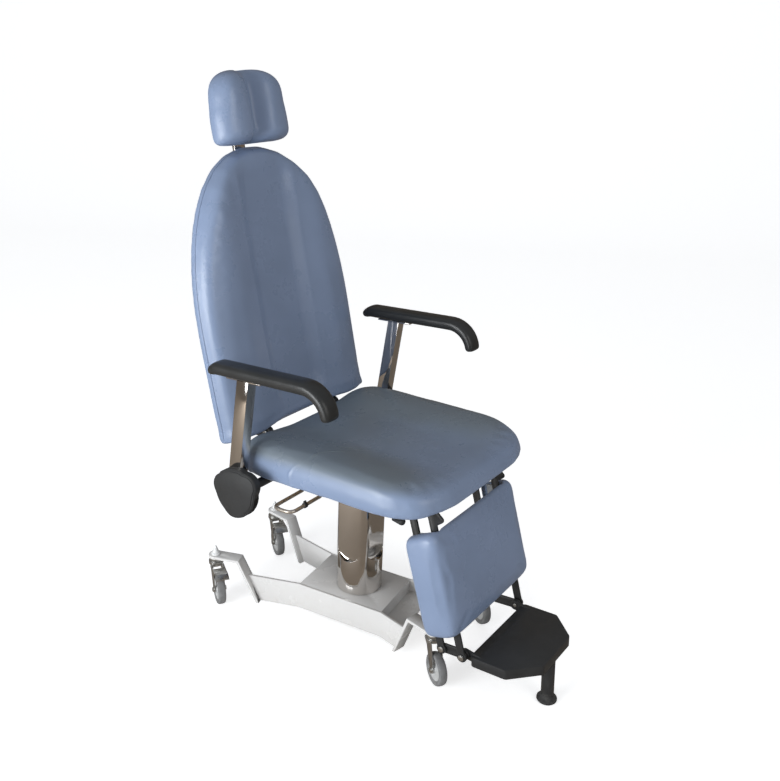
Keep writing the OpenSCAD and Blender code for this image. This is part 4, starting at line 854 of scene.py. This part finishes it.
def pocket(piece, board):
    """Cuts the board's pocket back into the cushion, with a little room round the board."""
    cutter_shape = merged_copy(board)
    for vert in cutter_shape.verts:
        vert.co += vert.normal * BOARD_ROOM * MM
    cutter = linked_piece(board + "_cutter", mesh_from(cutter_shape, board + "_cutter"), VINYL)
    cut = piece.modifiers.new("pocket", "BOOLEAN")
    cut.operation = "DIFFERENCE"
    cut.solver = "MANIFOLD"
    cut.object = cutter
    piece.data = baked(piece)
    piece.modifiers.clear()
    spare = cutter.data
    bpy.data.objects.remove(cutter)
    bpy.data.meshes.remove(spare)
    coated(piece.data, VINYL)


def cushion_done(piece, node, board=None):
    """Cuts the board's pocket back in and puts the cover in place of the CAD cushion."""
    if board:
        pocket(piece, board)
    for face in piece.data.polygons:
        face.use_smooth = True
    piece.data.name = piece.name
    rides_as(piece, node)
    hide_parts(node)


# Where each cover is held, from places in millimetres in its own frame: 1 at its board and seams, 0 where
# it may swell
def seat_hold(p):
    return 1.0 - eased(p[:, 2], 506, 530)


def back_hold(p):
    return eased(p[:, 1], 18, 40)


def head_hold(p):
    return eased(p[:, 1], 2, 18)


def calf_hold(p):
    return eased(p[:, 1], -26, 0) * (np.abs(p[:, 0]) < 185) + eased(p[:, 1], 44, 60)


VALLEY_DEPTH, VALLEY_FLOOR_X, VALLEY_EDGE_X = 15.0, 62, 108
BOLSTER_RISE, BOLSTER_X, BOLSTER_SPREAD = 5.0, 160, 42
GROOVE_DEPTH, GROOVE_SPREAD = 19.0, 22.0


def back_relief(p):
    """A broad valley with steep walls between two bolsters, down the middle of the back."""
    across = np.abs(p[:, 0])
    length = eased(p[:, 2], 20, 110) * (1.0 - eased(p[:, 2], 640, 715))
    valley = VALLEY_DEPTH * (1.0 - eased(across, VALLEY_FLOOR_X, VALLEY_EDGE_X))
    bolster = -BOLSTER_RISE * np.exp(-((across - BOLSTER_X) / BOLSTER_SPREAD) ** 2)
    return (valley + bolster) * length


def head_relief(p):
    """The groove between the two lobes of the headrest."""
    return GROOVE_DEPTH * np.exp(-(p[:, 0] / GROOVE_SPREAD) ** 2)


# Voxels of the remesh in millimetres
VOXEL, HEAD_VOXEL, CALF_VOXEL, ARM_VOXEL = 6.0, 4.0, 5.0, 2.6

# The seat cushion's edges, in the seat's frame, and how far its rear edge swells towards the back
SEAT_SIDE, SEAT_FRONT, SEAT_REAR, SEAT_TOP = 280, -416, 147, 572
REAR_SWELL = 10.5
# The seam that climbs the seat's side at the sitter's right and ends on its top
SEAT_SEAM = [
    (-278, -27, 504), (-279, -25, 522), (-279, -23, 541), (-277, -30, 558), (-269, -50, 576),
    (-252, -63, 585), (-223, -66, 584), (-190, -80, 581), (-144, -122, 572), (-94, -158, 562)]
SEAM_HEIGHT, SEAM_WIDTH, SEAM_FADE = 2.4, 3.4, 0.35


def seat_cover():
    pad = foam_block("seat_cover", "seat_cushion", "seat_board", VOXEL)
    stuff(pad, SEAT_FRAME, seat_hold, 0.8, 3.0)
    fill_corner(pad, SEAT_FRAME, (1, 2), (SEAT_REAR, SEAT_TOP), (36, 36), 5.0)
    for side in (-1, 1):
        fill_corner(pad, SEAT_FRAME, (0, 1), (side * SEAT_SIDE, SEAT_REAR), (side * 38, 38), 4.5)
        fill_corner(pad, SEAT_FRAME, (0, 1), (side * SEAT_SIDE, SEAT_FRONT), (side * 130, -130), 1.65)
    local = local_places(SEAT_FRAME, vertex_array(pad.data))
    local[:, 1] += REAR_SWELL * eased(local[:, 1], 95, SEAT_REAR) * eased(local[:, 2], 520, 545)
    set_vertices(pad.data, world_places(SEAT_FRAME, local))
    emboss(pad, SEAT_FRAME, SEAT_SEAM, SEAM_HEIGHT, SEAM_WIDTH, SEAM_FADE)
    cushion_done(pad, "seat_cushion", "seat_board")
    pad.data.materials[0] = SEAT_VINYL


# The back cushion's edges, in the back's frame, and how its foot hangs down and bulges forward
BACK_SIDE, BACK_FACE, BACK_FOOT = 277, -28, 18
FOOT_DROP, FOOT_BULGE, FOOT_TOP = 10.0, 7.0, 90
WELT_DEPTH, WELT_RADIUS = 21, 1.7


def back_cover():
    pad = foam_block("back_cover", "back_cushion", "back_board", VOXEL)
    stuff(pad, BACK_FRAME, back_hold, 0.5, 3.0)
    shape_front(pad, BACK_FRAME, back_relief, (0, 26))
    fill_corner(pad, BACK_FRAME, (1, 2), (BACK_FACE, BACK_FOOT), (-28, -32), 5.0)
    for side in (-1, 1):
        fill_corner(pad, BACK_FRAME, (0, 2), (side * BACK_SIDE, BACK_FOOT), (side * 40, -40), 6.0)
    local = local_places(BACK_FRAME, vertex_array(pad.data))
    near_foot = 1.0 - eased(local[:, 2], BACK_FOOT, FOOT_TOP)
    local[:, 2] -= FOOT_DROP * near_foot
    local[:, 1] -= FOOT_BULGE * near_foot * (1.0 - eased(local[:, 1], -10, 30))
    set_vertices(pad.data, world_places(BACK_FRAME, local))
    welt("back_welt", pad, BACK_FRAME, WELT_DEPTH, WELT_RADIUS, "backrest")
    cushion_done(pad, "back_cushion", "back_board")


HEAD_SIDE, HEAD_TOP = 124, 917


def headrest_cover():
    pad = foam_block("headrest_cover", "headrest_cushion", "headrest_board", HEAD_VOXEL)
    stuff(pad, BACK_FRAME, head_hold, 0.5, 2.5)
    for side in (-1, 1):
        fill_corner(pad, BACK_FRAME, (0, 2), (side * HEAD_SIDE, HEAD_TOP), (side * 124, 95), 2.9)
    shape_front(pad, BACK_FRAME, head_relief, (-2, 22))
    cushion_done(pad, "headrest_cushion", "headrest_board")


def calf_cover():
    pad = foam_block("calf_cover", "calf_cushion", None, CALF_VOXEL)
    stuff(pad, LEG_FRAME, calf_hold, 1.5, 3.0)
    cushion_done(pad, "calf_cushion")


ARM_END_LENGTH, ARM_END_DROP = 34, 8.0


def arm_rest(side):
    """An arm pad of skinned foam whose rear end droops a little."""
    node = "arm_pad_" + side
    pad = foam_block("arm_rest_" + side, node, None, ARM_VOXEL)
    local = local_places(SEAT_FRAME, vertex_array(pad.data))
    end_y = local[:, 1].max()
    local[:, 2] -= ARM_END_DROP * eased(local[:, 1], end_y - ARM_END_LENGTH, end_y)
    set_vertices(pad.data, world_places(SEAT_FRAME, local))
    finer = pad.modifiers.new("finer", "SUBSURF")
    finer.levels = finer.render_levels = 1
    pad.data = baked(pad)
    pad.modifiers.clear()
    coated(pad.data, PAD_SKIN)
    cushion_done(pad, node)


seat_cover()
back_cover()
headrest_cover()
calf_cover()
for side in ("left", "right"):
    arm_rest(side)


# Stage


FLOOR_FRONT, FLOOR_REAR, WALL_BEND, WALL_TOP, HALF_WIDTH = -9.0, 4.6, 2.0, 7.0, 9.0
BEND_STEP = 9
FLOOR_DROP = 0.0005
BACKDROP_LIFT = 0.62
BACKDROP_SEEN = (0.86, 0.86, 0.86, 1)
BACKDROP_MIRRORED = (0.35, 0.29, 0.23, 1)


def backdrop():
    """A pale floor that curves up into a wall behind the chair, seen from the camera's side."""
    shape = bmesh.new()
    profile = [(FLOOR_FRONT, 0.0), (FLOOR_REAR, 0.0)]
    for degrees in range(BEND_STEP, 90 + 1, BEND_STEP):
        a = math.radians(degrees)
        profile.append((FLOOR_REAR + WALL_BEND * math.sin(a), WALL_BEND - WALL_BEND * math.cos(a)))
    profile.append((FLOOR_REAR + WALL_BEND, WALL_TOP))
    verts = [shape.verts.new((0.0, y, z)) for y, z in profile]
    edges = [shape.edges.new(pair) for pair in zip(verts, verts[1:])]
    drawn = bmesh.ops.extrude_edge_only(shape, edges=edges)["geom"]
    far_side = [v for v in drawn if isinstance(v, bmesh.types.BMVert)]
    bmesh.ops.translate(shape, verts=far_side, vec=(2 * HALF_WIDTH, 0.0, 0.0))
    bmesh.ops.translate(shape, verts=shape.verts, vec=(-HALF_WIDTH, 0.0, 0.0))
    bmesh.ops.rotate(shape, verts=shape.verts, cent=(0, 0, 0), matrix=Matrix.Rotation(-CAMERA_YAW, 3, "Z"))
    bmesh.ops.translate(shape, verts=shape.verts, vec=(0.0, 0.0, -FLOOR_DROP))
    mesh = mesh_from(shape, "backdrop")
    for face in mesh.polygons:
        face.use_smooth = True
    material = bpy.data.materials.new("backdrop_white")
    material.use_nodes = True
    tree = material.node_tree
    shader = tree.nodes["Principled BSDF"]
    mirrored = tree.nodes.new("ShaderNodeLightPath").outputs["Is Glossy Ray"]
    tone = colour_mix(tree, mirrored, BACKDROP_SEEN, BACKDROP_MIRRORED)
    link(tree, tone, shader.inputs["Base Color"])
    shader.inputs["Roughness"].default_value = 0.9
    shader.inputs["Specular IOR Level"].default_value = 0.1
    path = tree.nodes.new("ShaderNodeLightPath")
    glow = maths(tree, "MULTIPLY", path.outputs["Is Camera Ray"], BACKDROP_LIFT)
    shader.inputs["Emission Color"].default_value = (1, 1, 1, 1)
    link(tree, glow, shader.inputs["Emission Strength"])
    linked_piece("backdrop", mesh, material)


CAMERA_PLACE = Vector((-1.7571, -1.2002, 1.5709))
CAMERA_YAW = math.radians(55.59)
CAMERA_PITCH = math.radians(22.23)
CAMERA_ROLL = math.radians(2.65)
CAMERA_LENS, CAMERA_SENSOR = 41.96, 36.0


def aim_camera():
    level = math.cos(CAMERA_PITCH)
    forward = Vector((math.sin(CAMERA_YAW) * level, math.cos(CAMERA_YAW) * level, -math.sin(CAMERA_PITCH)))
    right = Vector((math.cos(CAMERA_YAW), -math.sin(CAMERA_YAW), 0.0))
    up = right.cross(forward)
    across = right * math.cos(CAMERA_ROLL) + up * math.sin(CAMERA_ROLL)
    above = up * math.cos(CAMERA_ROLL) - right * math.sin(CAMERA_ROLL)
    turn = Matrix((across, above, -forward)).transposed().to_4x4()
    lens = bpy.data.cameras.new("photo_camera")
    lens.lens = CAMERA_LENS
    lens.sensor_width = CAMERA_SENSOR
    lens.sensor_fit = "HORIZONTAL"
    lens.dof.use_dof = False
    camera = bpy.data.objects.new("photo_camera", lens)
    camera.matrix_world = Matrix.Translation(CAMERA_PLACE) @ turn
    bpy.context.scene.collection.objects.link(camera)
    bpy.context.scene.camera = camera


def soft_lamp(name, place, target, size, watts, colour):
    lamp = bpy.data.lights.new(name, "AREA")
    lamp.shape = "RECTANGLE"
    lamp.size, lamp.size_y = size
    lamp.energy = watts
    lamp.color = colour
    holder = bpy.data.objects.new(name, lamp)
    look = (Vector(target) - Vector(place)).to_track_quat("-Z", "Y").to_matrix().to_4x4()
    holder.matrix_world = Matrix.Translation(place) @ look
    bpy.context.scene.collection.objects.link(holder)


# The room as lamps see it, as glossy surfaces mirror it low down and high up, and its two strengths
ROOM_LIGHT = (0.93, 0.96, 1.0, 1)
ROOM_LOW, ROOM_HIGH = (0.42, 0.33, 0.25, 1), (0.86, 0.88, 0.9, 1)
ROOM_STRENGTH, SEEN_STRENGTH = 0.40, 1.0


def studio():
    world = bpy.data.worlds.new("studio")
    world.use_nodes = True
    bpy.context.scene.world = world
    tree = world.node_tree
    sky = tree.nodes["Background"]
    path = tree.nodes.new("ShaderNodeLightPath")
    split = tree.nodes.new("ShaderNodeSeparateXYZ")
    link(tree, tree.nodes.new("ShaderNodeTexCoord").outputs["Generated"], split.inputs["Vector"])
    room = colour_mix(tree, range_of(tree, split.outputs["Z"], -0.1, 0.75), ROOM_LOW, ROOM_HIGH)
    link(tree, colour_mix(tree, path.outputs["Is Glossy Ray"], ROOM_LIGHT, room), sky.inputs["Color"])
    strength = range_of(tree, path.outputs["Is Camera Ray"], 0.0, 1.0, ROOM_STRENGTH, SEEN_STRENGTH,
                        smooth=False)
    link(tree, strength, sky.inputs["Strength"])
    soft_lamp("window_lamp", (-3.1, 0.7, 1.0), (0.0, 0.1, 0.65), (1.8, 1.5), 84.0, (0.94, 0.97, 1.0))
    soft_lamp("room_lamp", (-0.8, -3.2, 2.4), (0.0, 0.0, 0.6), (1.6, 1.6), 20.0, (1.0, 0.98, 0.95))


aim_camera()
backdrop()
studio()
scene = bpy.context.scene
scene.view_settings.view_transform = "Standard"
